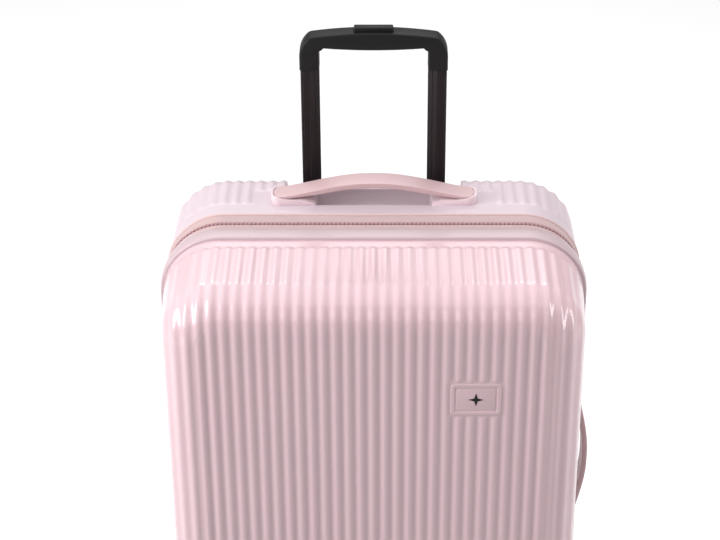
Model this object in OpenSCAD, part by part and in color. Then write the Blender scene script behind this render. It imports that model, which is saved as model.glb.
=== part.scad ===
// Hard shell spinner suitcase: two ribless shell cores, zip, expansion band, telescopic handle,
// two carry handles, combination lock and four twin-wheel casters.
// Frame: X to the right seen from the front, Y from the front to the back, Z up, ground at Z = 0.

/* [Case] */
// Width of the shells at the zip
shell_w = 458; // [380:1:560]
// Height of the shells
shell_h = 614; // [500:1:740]
// Height of the shells' underside above the ground
ground_gap = 58; // [56:1:72]
// Radius of the shells' corners seen from the front
corner_r = 65; // [50:1:80]
// Thickness of the shell wall
wall = 2.4; // [1.6:0.1:3.2]
// Gap between the shells and their linings
lining_gap = 16; // [15.5:0.5:24]
// Thickness of the linings and the divider
cloth_t = 1.2; // [0.8:0.1:1.6]

/* [Front half] */
// Depth of the front shell
front_d = 120; // [100:1:150]
// How much each side leans in from the zip to the front face
front_draft = 7.6; // [2:0.1:10]
// Radius of the front edges
front_edge_r = 40; // [25:1:48]
// Depth of the front band
band_d = 22; // [18:1:30]
// How far the front band stands out of the shell
band_proud = 3.4; // [2:0.1:5]
// Width of the badge
badge_w = 44; // [30:1:60]
// Height of the badge
badge_h = 29; // [20:1:40]
// Distance of the badge right of the centre
badge_x = 108; // [60:1:130]
// Distance of the badge below the top
badge_drop = 125; // [90:1:200]

/* [Zips] */
// Width of the expansion zip
expansion_zip_d = 5; // [4.8:0.1:8]
// Width of the front tape of the main zip with its teeth
front_tape_d = 12; // [9:0.5:16]
// Width of the rear tape of the main zip with its teeth
rear_tape_d = 23; // [20:0.5:30]
// Width of each row of teeth
teeth_d = 3; // [2:0.1:4]
// Extra depth that the expansion gives
expansion = 35; // [15:1:50]
// Length of the slider pulls on the main zip
pull_l = 22; // [21:0.5:24]

/* [Rear half] */
// Depth of the rear shell
rear_d = 102; // [96:1:130]
// Radius of the rear edges
rear_edge_r = 30; // [20:1:36]
// Width of the well for the telescopic handle
well_w = 196; // [190:1:230]
// Depth of the well below the top
well_drop = 54; // [52:1:64]
// Depth of the scoop for the hand under the top handle
scoop_drop = 13; // [8:0.5:13]

/* [Carry handles] */
// Length of a carry handle with its bases
handle_l = 230; // [210:1:250]
// Length of one base
base_l = 50; // [44:1:56]
// Width of a base
base_w = 31; // [28:0.5:34]
// Height of a base under the strap
base_h = 8.2; // [7:0.1:10]
// Width of the strap
strap_w = 27; // [22:0.5:27]
// Thickness of the strap
strap_t = 6; // [4:0.1:8]
// Height of the middle of the strap above the shell
strap_top = 27; // [25:0.5:32]
// How far a strap lifts
strap_lift = 6; // [3:0.5:6.5]
// Distance of the side handle's middle below the top
side_handle_drop = 341; // [330:1:350]
// Distance of the carry handles behind the zip seam
handle_back = 58; // [56:1:60]

/* [Telescopic handle] */
// Outer width over both rails
rails_w = 161; // [150:1:170]
// Width of one rail
rail_w = 20.7; // [18:0.1:24]
// Depth of one rail
rail_d = 13; // [11:0.1:16]
// Wall of the rails
rail_wall = 1.2; // [0.8:0.1:1.4]
// Gap between nested rails
rail_gap = 0.35; // [0.3:0.05:0.5]
// Distance of the rails behind the zip seam
rail_back = 94; // [92:1:97]
// Height of the grip's legs above the top when the first stage is out
grip_rest = 145; // [80:1:160]
// Height of the grip
grip_h = 43.4; // [42:0.2:48]
// Depth of the grip
grip_d = 24; // [22:0.5:28]
// Travel of the second stage
second_stage = 180; // [100:1:220]
// Width of the grip's button
button_w = 43; // [30:1:60]
// How far the button stands out of the grip
button_proud = 4.6; // [3:0.1:6]

/* [Lock] */
// Distance of the lock's middle below the top
lock_drop = 190; // [170:1:195]
// Length of the lock's face plate
lock_l = 68; // [64:1:72]
// Width of the lock's face plate
lock_d = 22; // [20:0.5:23]
// Radius of a dial
dial_r = 5.2; // [4.8:0.1:5.6]

/* [Casters] */
// Radius of the wheels
wheel_r = 22; // [18:0.5:22]
// Width of one wheel
wheel_w = 11; // [8:0.5:13]
// Distance of the axle behind the swivel pin
trail = 16; // [10:0.5:18]
// Radius of the swivel pin
swivel_r = 5; // [4:0.1:6]
// Radius of the axle
axle_r = 3; // [2.5:0.1:3.5]
// Distance of the casters from the middle of the case
caster_x = 160; // [140:1:164]
// Distance of the swivel pins from the front and back faces
caster_in = 62; // [58:1:64]

/* [Hidden] */
$fn = 48;

// Running clearance of a pin in its bore, and the gap round pieces that slide freely
run = 0.05;
free = 0.3;
// Overshoot of a cut past the faces it goes through
cut = 1;

// Stations from the front face to the back
case_d = front_d + band_d + expansion_zip_d + front_tape_d + rear_tape_d + rear_d;
y_front = -case_d / 2;
y_band = y_front + front_d;
y_ezip = y_band + band_d;
y_tape = y_ezip + expansion_zip_d;
y_seam = y_tape + front_tape_d;
y_rim = y_seam + rear_tape_d;
y_back = y_rim + rear_d;
// Top and middle of the shells
z_bottom = ground_gap;
z_top = ground_gap + shell_h;
z_mid = (z_top + z_bottom) / 2;
half_w = shell_w / 2;
// The side handle stands out on the right only, so the case sits left of the origin
x_shift = -(strap_top - band_proud) / 2;
// Middle of the zip hinge, just outside the band on the left
hinge_x = -half_w - band_proud - 1.5;

module in_frame() { translate([x_shift, 0, 0]) children(); }

// ---- shell outlines ----

// Rounded rectangle about its middle
module round_rect(w, h, r) {
    square([w - 2 * r, h], center = true);
    square([w, h - 2 * r], center = true);
    for (sx = [-1, 1], sy = [-1, 1]) translate([sx * (w / 2 - r), sy * (h / 2 - r)]) circle(r);
}
// The case seen from the front, grown by g
module outline(g) { round_rect(shell_w + 2 * g, shell_h + 2 * g, corner_r + g); }
// A flat shape in X and Z made solid from y0 back to y1
module upright(y0, y1) { translate([0, y1, z_mid]) rotate([90, 0, 0]) linear_extrude(y1 - y0) children(); }
// A hoop that follows the case's outline between two offsets from the shell surface
module hoop(y0, y1, outer, inner) {
    upright(y0, y1) difference() { outline(outer); outline(inner); }
}
// Section of a shell half: its rim on the X axis, leaning in to a face with rounded edges
module half_section(half, depth, draft, r, below) {
    lean = atan(draft / depth);
    vc = depth - r;
    uc = half - draft * vc / depth - r / cos(lean);
    tu = uc + r * cos(lean);
    tv = vc + r * sin(lean);
    polygon([[-half, -below], [half, -below], [half, 0], [tu, tv], [uc, depth],
        [-uc, depth], [-tu, tv], [-half, 0]]);
    for (s = [-1, 1]) translate([s * uc, vc]) circle(r);
}
// One shell half as a solid block, set in by g from its outer surface. side is -1 front, 1 rear
module half_block(y_at, side, depth, draft, r, g) {
    below = g > 0 ? cut : 0;
    lean_in = draft * (depth - g) / depth;
    far = y_at + side * depth;
    intersection() {
        upright(min(y_at - side * below, far), max(y_at - side * below, far)) outline(-g);
        translate([0, y_at, z_mid]) scale([1, side, 1]) linear_extrude(shell_h + 2, center = true)
            half_section(half_w - g, depth - g, lean_in, r - g, below);
        translate([0, y_at, z_mid]) scale([1, side, 1]) rotate([0, 90, 0])
            linear_extrude(shell_w + 2, center = true)
            half_section(shell_h / 2 - g, depth - g, lean_in, r - g, below);
    }
}
module front_block(g) { half_block(y_band, -1, front_d, front_draft, front_edge_r, g); }
module rear_block(g) { half_block(y_rim, 1, rear_d, 0, rear_edge_r, g); }

// A box from one corner to the other
module span_box(a, b) { translate(a) cube(b - a); }
// A screw pointing up from its head's underside
module screw(r, length, head_r, head_h) {
    cylinder(h = length, r = r);
    translate([0, 0, -head_h]) cylinder(h = head_h, r = head_r);
}

// ---- carry handle, in its own frame: X along it, Z out of the shell ----

strap_half = handle_l / 2 - 3;
arch_end = strap_half - 22;
// Bent so that the strap's ends lie just over the bases
arch_bend = (strap_top - strap_t - base_h - 0.2) / (arch_end * (arch_end / 2 + 11));
base_mid = handle_l / 2 - base_l / 2;
tongue_x = base_mid + 4;
tongue = [12, 9];
head_w = 16;
head_h = 3.5;
socket = [17, 21];
socket_drop = 9.5;
ledge_z = base_h - 6;
head_z = ledge_z - strap_lift - head_h;
plate_t = 1.6;
handle_screw_r = 1.5;
handle_screws_x = [base_mid - 16, base_mid + 18];

// How far the strap has dropped at distance x from its middle
function arch(x) = let (a = abs(x), d = a - arch_end)
    d < 0 ? arch_bend * a * a / 2
    : arch_bend * arch_end * arch_end / 2 + arch_bend * arch_end * (d - d * d / 44);
strap_xs = [for (i = [-18:18]) i * strap_half / 18];

module strap_shape() {
    intersection() {
        translate([0, strap_w / 2, 0]) rotate([90, 0, 0]) linear_extrude(strap_w)
            polygon(concat([for (x = strap_xs) [x, strap_top - arch(x)]],
                [for (i = [36:-1:0]) [strap_xs[i], strap_top - strap_t - arch(strap_xs[i])]]));
        linear_extrude(2 * strap_top, center = true) round_rect(2 * strap_half, strap_w, 10);
    }
    for (s = [-1, 1]) translate([s * tongue_x, 0, 0]) {
        translate([-tongue[0] / 2, -tongue[1] / 2, head_z]) cube([tongue[0], tongue[1], base_h + 2 - head_z]);
        translate([-tongue[0] / 2, -head_w / 2, head_z]) cube([tongue[0], head_w, head_h]);
    }
}
// Base at the +X end: plate with a falling shoulder at its inner end, rim round the strap end, socket
module base_shape() {
    inner = handle_l / 2 - base_l;
    rim = (base_w - strap_w) / 2;
    difference() {
        union() {
            intersection() {
                translate([0, base_w / 2, 0]) rotate([90, 0, 0]) linear_extrude(base_w)
                    polygon(concat([[inner, 0]],
                        [for (i = [0:6]) [inner + 18 * i / 6, 1.5 + (base_h - 1.5) * sin(15 * i)]],
                        [[handle_l / 2, base_h], [handle_l / 2, 0]]));
                linear_extrude(3 * base_h, center = true) round_rect(handle_l, base_w, 11);
            }
            translate([0, 0, base_h]) linear_extrude(strap_t - 1) difference() {
                round_rect(handle_l, base_w, 11);
                round_rect(2 * strap_half + 2 * free, strap_w + 2 * free, 10 + free);
                translate([-handle_l, -base_w]) square([handle_l + base_mid - 4, 2 * base_w]);
            }
            translate([tongue_x - socket[0] / 2, -socket[1] / 2, -socket_drop])
                cube([socket[0], socket[1], socket_drop + 1]);
        }
        translate([tongue_x, 0, 0]) {
            translate([-tongue[0] / 2 - free, -tongue[1] / 2 - free, -socket_drop - cut])
                cube([tongue[0] + 2 * free, tongue[1] + 2 * free, socket_drop + base_h + 2 * cut]);
            translate([-tongue[0] / 2 - free, -head_w / 2 - free, -socket_drop - cut])
                cube([tongue[0] + 2 * free, head_w + 2 * free, socket_drop + cut + ledge_z]);
        }
        for (x = handle_screws_x) translate([x, 0, -cut]) cylinder(h = cut + 4.5, r = handle_screw_r + run);
    }
}
module both_ends() { for (s = [0, 1]) mirror([s, 0, 0]) children(); }
module backing_plate() {
    difference() {
        translate([0, 0, -wall - plate_t]) linear_extrude(plate_t) difference() {
            translate([base_mid, 0]) round_rect(base_l - 8, base_w - 4, 3);
            translate([tongue_x, 0]) square([socket[0] + 2 * free, socket[1] + 2 * free], center = true);
        }
        for (x = handle_screws_x) translate([x, 0, -wall - plate_t - cut])
            cylinder(h = plate_t + 2 * cut, r = handle_screw_r + run);
    }
}
module handle_screws() {
    for (x = handle_screws_x) translate([x, 0, -wall - plate_t])
        screw(handle_screw_r, wall + plate_t + 4, 2.8, 1.8);
}
// What a carry handle cuts out of the shell
module handle_holes() {
    both_ends() {
        translate([tongue_x - socket[0] / 2 - free, -socket[1] / 2 - free, -wall - cut])
            cube([socket[0] + 2 * free, socket[1] + 2 * free, wall + 2 * cut]);
        for (x = handle_screws_x) translate([x, 0, -wall - cut])
            cylinder(h = wall + 2 * cut, r = handle_screw_r + free);
    }
}
module at_top_handle() { translate([0, y_seam + handle_back, z_top]) children(); }
module at_side_handle() {
    translate([half_w, y_seam + handle_back, z_top - side_handle_drop]) rotate([0, 90, 0]) children();
}

// ---- telescopic handle ----

rail_x = (rails_w - rail_w) / 2;
rail_y = y_seam + rail_back;
well_y = rail_y - grip_d / 2 - 2.5;
well_floor = z_top - well_drop;
bezel_t = 3;
bezel_top = well_floor + bezel_t;
grip_stow = bezel_top + 1;
first_stage = z_top + grip_rest - grip_stow;
bracket_h = 14;
bracket_floor = z_bottom + wall + 6;
tube_bottom = bracket_floor + 0.5;
mid_top = bezel_top + 0.5;
// The upper rails end far enough inside the mid rails when they are stowed
upper_bottom = tube_bottom + first_stage + 12;
grip_z = z_top + grip_rest;
socket_up = 18;
bar_z = grip_z + 23.6;
cavity_z = [bar_z + 2.6, bar_z + 15];
link_z = [cavity_z[0] + 5, cavity_z[0] + 9];
button_travel = 4.5;
rod_r = 2;
button_d = 11.4;

// Half of the rail's section, the front leaning back towards the middle; outer edge at x = 0
rail_points = [[0, 1.2], [1.2, 0], [rail_w * 0.52, 0], [rail_w, rail_d * 0.5], [rail_w, rail_d - 1],
    [rail_w - 1, rail_d], [1, rail_d], [0, rail_d - 1]];
function edge_normal(a, b) = let (d = b - a) [d[1], -d[0]] / norm(d);
// The section's points moved out by g along each edge
function grown(g) = [for (i = [0:7])
    let (n1 = edge_normal(rail_points[(i + 7) % 8], rail_points[i]),
        n2 = edge_normal(rail_points[i], rail_points[(i + 1) % 8]))
    rail_points[i] + g * (n1 + n2) / (1 + n1 * n2)];
module rail_section(g) { translate([-rail_w / 2, -rail_d / 2]) polygon(grown(g)); }
// Something at both rails, the right one the mirror image of the left
module at_rails() {
    for (s = [0, 1]) mirror([s, 0, 0]) translate([-rail_x, rail_y, 0]) children();
}
module rail_tubes(z0, z1, inner) {
    at_rails() translate([0, 0, z0]) linear_extrude(z1 - z0) difference() {
        rail_section(inner + rail_wall);
        rail_section(inner);
    }
}
mid_grow = rail_gap;
outer_grow = rail_gap + rail_wall + rail_gap;

// ---- well and scoop ----

module well_shape(g) {
    span_box([-well_w / 2 - g, well_y - g, well_floor - g], [well_w / 2 + g, y_back + 2 * cut, z_top + 2 * cut]);
}
scoop_half = handle_l / 2 - base_l - 0.5;
scoop_y = [y_seam + handle_back - base_w / 2 + 1.5, well_y - wall];
scoop_run = scoop_y[1] - scoop_y[0] - 3;
scoop_r = (scoop_run * scoop_run + scoop_drop * scoop_drop) / (2 * scoop_drop);
module scoop_shape(g) {
    intersection() {
        span_box([-scoop_half - g, scoop_y[0] - g, z_top - scoop_drop - g - cut],
            [scoop_half + g, scoop_y[1] + g, z_top + cut]);
        translate([0, scoop_y[0] + 3, z_top - scoop_drop + scoop_r]) rotate([0, 90, 0])
            cylinder(h = 2 * scoop_half + 2 * g, r = scoop_r + g, center = true, $fn = 96);
    }
}

// ---- lock ----

lock_z = z_top - lock_drop;
lock_y = y_rim + 1 + lock_d / 2;
plate_x = half_w + 0.1;
face_x = half_w + band_proud;
lock_inner = [lock_d - 4.6, lock_l - 8];
lock_in_x = half_w - 10;
notch_l = 12;
dial_t = 4.4;
dial_step = 8;
dial_y = lock_y + 2;
dial_x = face_x - dial_r + 1.3;
core_r = 3.5;
press = 2;

module lock_holes() {
    span_box([lock_in_x - cut, lock_y - lock_inner[0] / 2 - free, lock_z - lock_inner[1] / 2 - free],
        [half_w + cut, lock_y + lock_inner[0] / 2 + free, lock_z + lock_inner[1] / 2 + free]);
}

// ---- casters ----

axle_z = wheel_r;
crown_z = [2 * wheel_r + 1.2, 2 * wheel_r + 5.8];
pad_z = crown_z[1] + 0.7;
boss_r = 13;
boss_up = 12;
fork_w = 8;
side_gap = 0.5;
caster_screws = [26, 22];
caster_screw_r = 1.75;
pad = [76, 64];
casters_y = [y_front + caster_in, y_back - caster_in];

module at_caster(right, rear) {
    translate([right ? caster_x : -caster_x, casters_y[rear ? 1 : 0], 0]) children();
}
module caster_screws_at() {
    for (sx = [-1, 1], sy = [-1, 1]) translate([sx * caster_screws[0], sy * caster_screws[1], 0]) children();
}
// What a caster cuts out of the shell's floor
module caster_holes() {
    translate([0, 0, z_bottom - cut]) cylinder(h = boss_up + 2 * cut, r = boss_r + free);
    caster_screws_at() translate([0, 0, z_bottom - cut]) cylinder(h = 30, r = caster_screw_r + free);
}
module caster_housing(right, rear) {
    difference() {
        at_caster(right, rear) translate([0, 0, pad_z]) linear_extrude(z_bottom + boss_up - pad_z)
            round_rect(pad[0], pad[1], 14);
        if (rear) rear_block(0); else front_block(0);
        at_caster(right, rear) {
            translate([0, 0, pad_z - cut]) cylinder(h = 40, r = swivel_r + run);
            caster_screws_at() translate([0, 0, pad_z + 2]) cylinder(h = 40, r = caster_screw_r + run);
        }
    }
    at_caster(right, rear) difference() {
        translate([0, 0, z_bottom - 0.5]) cylinder(h = boss_up + 0.5, r = boss_r);
        translate([0, 0, z_bottom - cut - 0.5]) cylinder(h = boss_up + cut - 1, r = swivel_r + run);
    }
}
module caster_fork(right, rear) {
    at_caster(right, rear) {
        difference() {
            union() {
                translate([0, 0, crown_z[0]]) cylinder(h = crown_z[1] - crown_z[0], r = 15);
                translate([0, 0, crown_z[0]]) cylinder(h = z_bottom + boss_up - 3 - crown_z[0], r = swivel_r);
                translate([-fork_w / 2, 0, 0]) rotate([90, 0, 90]) linear_extrude(fork_w) {
                    polygon([[-9, crown_z[0] + 1], [13, crown_z[0] + 1], [trail + 8, axle_z + 4],
                        [trail, axle_z - 8], [trail - 8, axle_z]]);
                    translate([trail, axle_z]) circle(9);
                }
            }
            translate([0, trail, axle_z]) rotate([0, 90, 0]) cylinder(h = fork_w + 2, r = axle_r, center = true);
        }
        translate([0, trail, axle_z]) rotate([0, 90, 0])
            cylinder(h = 2 * (fork_w / 2 + side_gap + wheel_w - 1.5), r = axle_r, center = true);
    }
}
// Something at both wheels of a caster, in a frame whose Z points out along the axle
module at_wheels(right, rear) {
    at_caster(right, rear) for (s = [0, 1]) mirror([s, 0, 0])
        translate([fork_w / 2 + side_gap, trail, axle_z]) rotate([0, 90, 0]) children();
}
tyre_t = 4.5;
module wheel_hubs(right, rear) {
    at_wheels(right, rear) difference() {
        cylinder(h = wheel_w - 0.5, r = wheel_r - tyre_t);
        translate([0, 0, -cut]) cylinder(h = wheel_w - 1 + cut, r = axle_r + run);
        translate([0, 0, wheel_w - 2]) difference() {
            cylinder(h = 3, r = wheel_r - tyre_t - 2.5);
            cylinder(h = 3, r = 7);
        }
    }
}
module wheel_tyres(right, rear) {
    at_wheels(right, rear) rotate_extrude() {
        translate([wheel_r - tyre_t, 0]) square([tyre_t - 2, wheel_w]);
        translate([wheel_r - 2.5, 2]) square([2.5, wheel_w - 4]);
        for (z = [2, wheel_w - 2]) translate([wheel_r - 2, z]) circle(2);
    }
}

// ---- zip sliders, in a frame with X out of the shell and the pull along +Y ----

slider_l = 12;
slider_d = 10;
pull_w = 8;
pull_t = 1.8;
eye_r = 1.9;
pin_r = 1;
seat_x = half_w + 1;
pull_pin_x = seat_x + 2;
pull_pin_y = y_seam + 6.2;
slider_z = lock_z + lock_l / 2 - notch_l / 2;
lower_slider_z = lock_z - lock_l / 2 + notch_l / 2;

module main_slider(z) {
    translate([0, 0, z]) {
        span_box([seat_x, y_seam - slider_d / 2 - 1, -slider_l / 2], [seat_x + 3, pull_pin_y - 2.2, slider_l / 2]);
        for (s = [0, 1]) mirror([0, 0, s])
            span_box([seat_x, pull_pin_y - 2.4, pull_w / 2 + 0.3], [seat_x + 3.6, pull_pin_y + 2, slider_l / 2]);
        translate([pull_pin_x, pull_pin_y, 0]) cylinder(h = slider_l - 1, r = pin_r, center = true);
    }
}
module main_pull(z) {
    translate([pull_pin_x, pull_pin_y, z]) difference() {
        union() {
            cylinder(h = pull_w, r = eye_r, center = true);
            translate([-pull_t / 2, 0, -pull_w / 2]) cube([pull_t, pull_l, pull_w]);
        }
        cylinder(h = pull_w + 2, r = pin_r + run, center = true);
        translate([0, pull_l - 5, 0]) rotate([0, 90, 0]) cylinder(h = 4, r = 2, center = true);
    }
}
small_drop = 420;
small_z = z_top - small_drop;
small_y = (y_ezip + y_tape) / 2;
small_half = expansion_zip_d / 2 - 0.4;
small_pull_w = 2 * small_half - 2;
small_pin_z = small_z - 8;

// ---- pieces of the rear half ----

module rear_shell() color("#ecd9e0") in_frame() difference() {
    union() {
        difference() { rear_block(0); rear_block(wall); }
        intersection() {
            rear_block(0);
            union() { well_shape(wall); scoop_shape(wall); }
        }
    }
    well_shape(0);
    scoop_shape(0);
    at_rails() translate([0, 0, well_floor - wall - cut]) linear_extrude(wall + 2 * cut)
        rail_section(outer_grow + rail_wall + free);
    at_top_handle() handle_holes();
    at_side_handle() handle_holes();
    lock_holes();
    for (right = [false, true]) at_caster(right, true) caster_holes();
    bracket_screw_places() {
        cylinder(h = 2 * wall + 2, r = bracket_screw_r + free, center = true);
        translate([0, 0, -bracket_head_h - cut]) cylinder(h = bracket_head_h + cut, r = 4 + free);
    }
    bezel_screw_places() translate([0, 0, -bezel_t - wall - cut])
        cylinder(h = bezel_t + wall + 2 * cut, r = bezel_screw_r + free);
}
// Lining of a half: walls and face set in from the shell, with a flange to the wall at its rim
module lining(y_open, y_face, side) {
    y0 = min(y_open, y_face);
    y1 = max(y_open, y_face);
    hoop(y0, y1, -lining_gap, -lining_gap - cloth_t);
    upright(side > 0 ? y1 - cloth_t : y0, side > 0 ? y1 : y0 + cloth_t) outline(-lining_gap);
    hoop(side > 0 ? y0 : y1 - cloth_t, side > 0 ? y0 + cloth_t : y1, -wall - free, -lining_gap - cloth_t);
}
lining_back = well_y - wall - 4;
module rear_lining() color("#8f8790") in_frame() lining(y_rim + 2, lining_back, 1);
module rear_zip_tape() color("#e2bfc2") in_frame() hoop(y_seam + teeth_d, y_rim, -0.3, -1.8);
module rear_zip_teeth() color("#c9a2a6") in_frame() hoop(y_seam + 0.1, y_seam + teeth_d, 0.8, -1.8);
module rear_piping() color("#e6cbd0") in_frame() hoop(y_rim - 4, y_rim - 0.3, 1.2, -0.3);
hinge_half = shell_h / 2 - corner_r - 12;
module hinge_tape() color("#c9a2a6") in_frame()
    span_box([-half_w + 1.9, y_seam - 9, z_mid - hinge_half], [-half_w + 3.1, y_seam + 14, z_mid + hinge_half]);
bezel_screw_r = 1.5;
bezel_screw_x = [rail_x - 24, rail_x + 20];
module bezel_screw_places() {
    for (s = [-1, 1], x = bezel_screw_x) translate([s * x, rail_y, bezel_top]) children();
}
module trolley_bezel() color("#2b2729") in_frame() difference() {
    span_box([-well_w / 2 + 0.5, well_y + 0.5, well_floor], [well_w / 2 - 0.5, rail_y + grip_d / 2 + 6, bezel_top]);
    at_rails() translate([0, 0, well_floor - cut]) linear_extrude(bezel_t + 2 * cut)
        rail_section(mid_grow + rail_wall + rail_gap);
    bezel_screw_places() translate([0, 0, -bezel_t - cut]) cylinder(h = bezel_t + 2 * cut, r = bezel_screw_r + run);
}
module trolley_outer_tubes() color("#7d7a7c") in_frame()
    rail_tubes(bracket_floor, well_floor - 0.1, outer_grow);
bracket_screw_r = 2;
bracket_head_h = 1.2;
bracket_w = rails_w + 24;
module bracket_screw_places() {
    for (s = [-1, 1]) translate([s * (rail_x - 32), y_back - bracket_head_h, z_bottom + 34]) rotate([90, 0, 0])
        children();
}
module trolley_foot_bracket() color("#3a3638") in_frame() difference() {
    intersection() {
        rear_block(wall + 0.5);
        union() {
            span_box([-bracket_w / 2, rail_y - rail_d / 2 - 6, z_bottom + wall + 1],
                [bracket_w / 2, y_back, z_bottom + wall + bracket_h]);
            span_box([-rail_x + 24, rail_y - rail_d / 2, z_bottom + wall + 1], [rail_x - 24, y_back, z_bottom + 44]);
        }
    }
    at_rails() translate([0, 0, bracket_floor]) linear_extrude(bracket_h) rail_section(outer_grow + rail_wall + 0.15);
    bracket_screw_places() cylinder(h = 60, r = bracket_screw_r + run, center = true);
}
module top_handle_bases() color("#e3c0c4") in_frame() at_top_handle() both_ends() base_shape();
module side_handle_bases() color("#e3c0c4") in_frame() at_side_handle() both_ends() base_shape();
module handle_backing_plates() color("#b9b6b8") in_frame() {
    at_top_handle() both_ends() backing_plate();
    intersection() {
        at_side_handle() both_ends() backing_plate();
        rear_block(wall);
    }
}
module lock_body() color("#d9b3b8") in_frame() {
    difference() {
        union() {
            span_box([plate_x, lock_y - lock_d / 2, lock_z - lock_l / 2], [face_x, lock_y + lock_d / 2, lock_z + lock_l / 2]);
            span_box([lock_in_x, lock_y - lock_inner[0] / 2, lock_z - lock_inner[1] / 2],
                [plate_x + 0.1, lock_y + lock_inner[0] / 2, lock_z + lock_inner[1] / 2]);
        }
        for (s = [0, 1]) translate([0, 0, lock_z]) mirror([0, 0, s])
            span_box([plate_x - cut, y_rim - 1, lock_l / 2 - notch_l], [face_x + cut, lock_y - lock_d / 2 + 7, lock_l / 2 + cut]);
        for (i = [-1:1]) translate([dial_x, dial_y, lock_z + i * dial_step])
            cube([2 * dial_r + 1, 2 * dial_r + 1, dial_t + 0.6], center = true);
        translate([face_x, dial_y, lock_z - 18]) cube([2 * press + 8, 8.6, 7.6], center = true);
        translate([face_x - 8, dial_y, lock_z + 18]) rotate([0, 90, 0]) cylinder(h = 9, r = core_r + run);
    }
    for (i = [-1:1]) translate([dial_x, dial_y, lock_z + i * dial_step])
        cylinder(h = dial_t + 1.2, r = 1.2, center = true);
}
module lock_dial(i) translate([dial_x, dial_y, lock_z + i * dial_step]) difference() {
    cylinder(h = dial_t, r = dial_r, center = true);
    cylinder(h = dial_t + 2, r = 1.2 + run, center = true);
}
module lock_dial_1() color("#f1ece8") in_frame() lock_dial(1);
module lock_dial_2() color("#f1ece8") in_frame() lock_dial(0);
module lock_dial_3() color("#f1ece8") in_frame() lock_dial(-1);
module lock_button() color("#b98b91") in_frame()
    translate([face_x - 3, dial_y, lock_z - 18]) translate([0, -4, -3.5]) cube([4.2, 8, 7]);
module lock_key_core() color("#c8c6c4") in_frame() translate([face_x - 7.5, dial_y, lock_z + 18]) rotate([0, 90, 0])
    difference() {
        cylinder(h = 7.8, r = core_r);
        translate([-0.5, -2.2, 4]) cube([1, 4.4, 5]);
    }
module rear_caster_housings() color("#e3c8ce") in_frame() for (right = [false, true]) caster_housing(right, true);
module front_caster_housings() color("#e3c8ce") in_frame() for (right = [false, true]) caster_housing(right, false);
// A caster's screws, driven down from inside through the floor, which rises towards the front and the corners
module caster_screw_set(right, rear) {
    for (sx = [-1, 1], sy = [-1, 1]) {
        depth_in = y_band - (casters_y[rear ? 1 : 0] + sy * caster_screws[1] - 3);
        round_in = max(0, caster_x + (right ? sx : -sx) * caster_screws[0] + 3 - (half_w - corner_r));
        corner_rise = corner_r - wall - sqrt(pow(corner_r - wall, 2) - pow(round_in, 2));
        seat = z_bottom + wall + free + max(front_draft * depth_in / front_d, corner_rise);
        at_caster(right, rear) translate([sx * caster_screws[0], sy * caster_screws[1], seat]) mirror([0, 0, 1])
            screw(caster_screw_r, seat - pad_z - 2.5, 3, 1.8);
    }
}
module rear_screws() color("#b9b6b8") in_frame() {
    at_top_handle() both_ends() handle_screws();
    at_side_handle() both_ends() handle_screws();
    for (right = [false, true]) caster_screw_set(right, true);
    bezel_screw_places() mirror([0, 0, 1]) screw(bezel_screw_r, bezel_t + wall + 4, 2.6, 0.4);
    bracket_screw_places() screw(bracket_screw_r, 16, 4, bracket_head_h);
}
strap_y = y_seam + 40;
strap_zs = [z_mid - 130, z_mid + 110];
pack_strap_w = 25;
pack_strap_t = 1.4;
buckle_half = 24;
module packing_straps() color("#6f666c") in_frame() for (z = strap_zs, s = [0, 1]) mirror([s, 0, 0])
    span_box([buckle_half + 0.2, strap_y, z - pack_strap_w / 2],
        [half_w - lining_gap - cloth_t, strap_y + pack_strap_t, z + pack_strap_w / 2]);
module strap_buckles() color("#221f21") in_frame() for (z = strap_zs)
    translate([0, strap_y + pack_strap_t / 2 + 3, z]) rotate([90, 0, 0]) linear_extrude(6)
        round_rect(2 * buckle_half, pack_strap_w + 8, 6);

// ---- pieces of the zip ring ----

module front_zip_tape() color("#e2bfc2") in_frame() hoop(y_tape, y_seam - teeth_d, -0.3, -1.8);
module front_zip_teeth() color("#c9a2a6") in_frame() hoop(y_seam - teeth_d, y_seam - 0.1, 0.8, -1.8);
gusset_t = 1.6;
gusset_in = wall + 3.2;
module expansion_zip() color("#cfa9ad") in_frame() {
    hoop(y_ezip + 0.2, y_tape, 0.8, -wall);
    hoop(y_tape - 1.6, y_tape, -wall, -gusset_in - gusset_t);
}
module expansion_gusset() color("#b98f95") in_frame()
    hoop(y_ezip - 16, y_tape - 1.6, -gusset_in, -gusset_in - gusset_t);
module expansion_slider() color("#c9c4c2") in_frame() {
    span_box([seat_x - 0.1, small_y - small_half, small_z - 5], [seat_x + 2.6, small_y + small_half, small_z + 5]);
    for (s = [-1, 1]) translate([0, small_y + s * (small_half - 0.4), 0])
        span_box([seat_x - 0.1, -0.4, small_pin_z - 1.8], [seat_x + 2.9, 0.4, small_z - 4]);
    translate([seat_x + 1.6, small_y, small_pin_z]) rotate([90, 0, 0]) cylinder(h = 2 * small_half - 0.4, r = 0.6, center = true);
}
module expansion_pull() color("#d9b3b8") in_frame() translate([seat_x + 1.6, small_y, small_pin_z]) difference() {
    union() {
        rotate([90, 0, 0]) cylinder(h = small_pull_w, r = 1.3, center = true);
        translate([-0.6, -small_pull_w / 2, -20]) cube([1.2, small_pull_w, 20]);
    }
    rotate([90, 0, 0]) cylinder(h = small_pull_w + 2, r = 0.6 + run, center = true);
}

// ---- pieces of the front half ----

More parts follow.
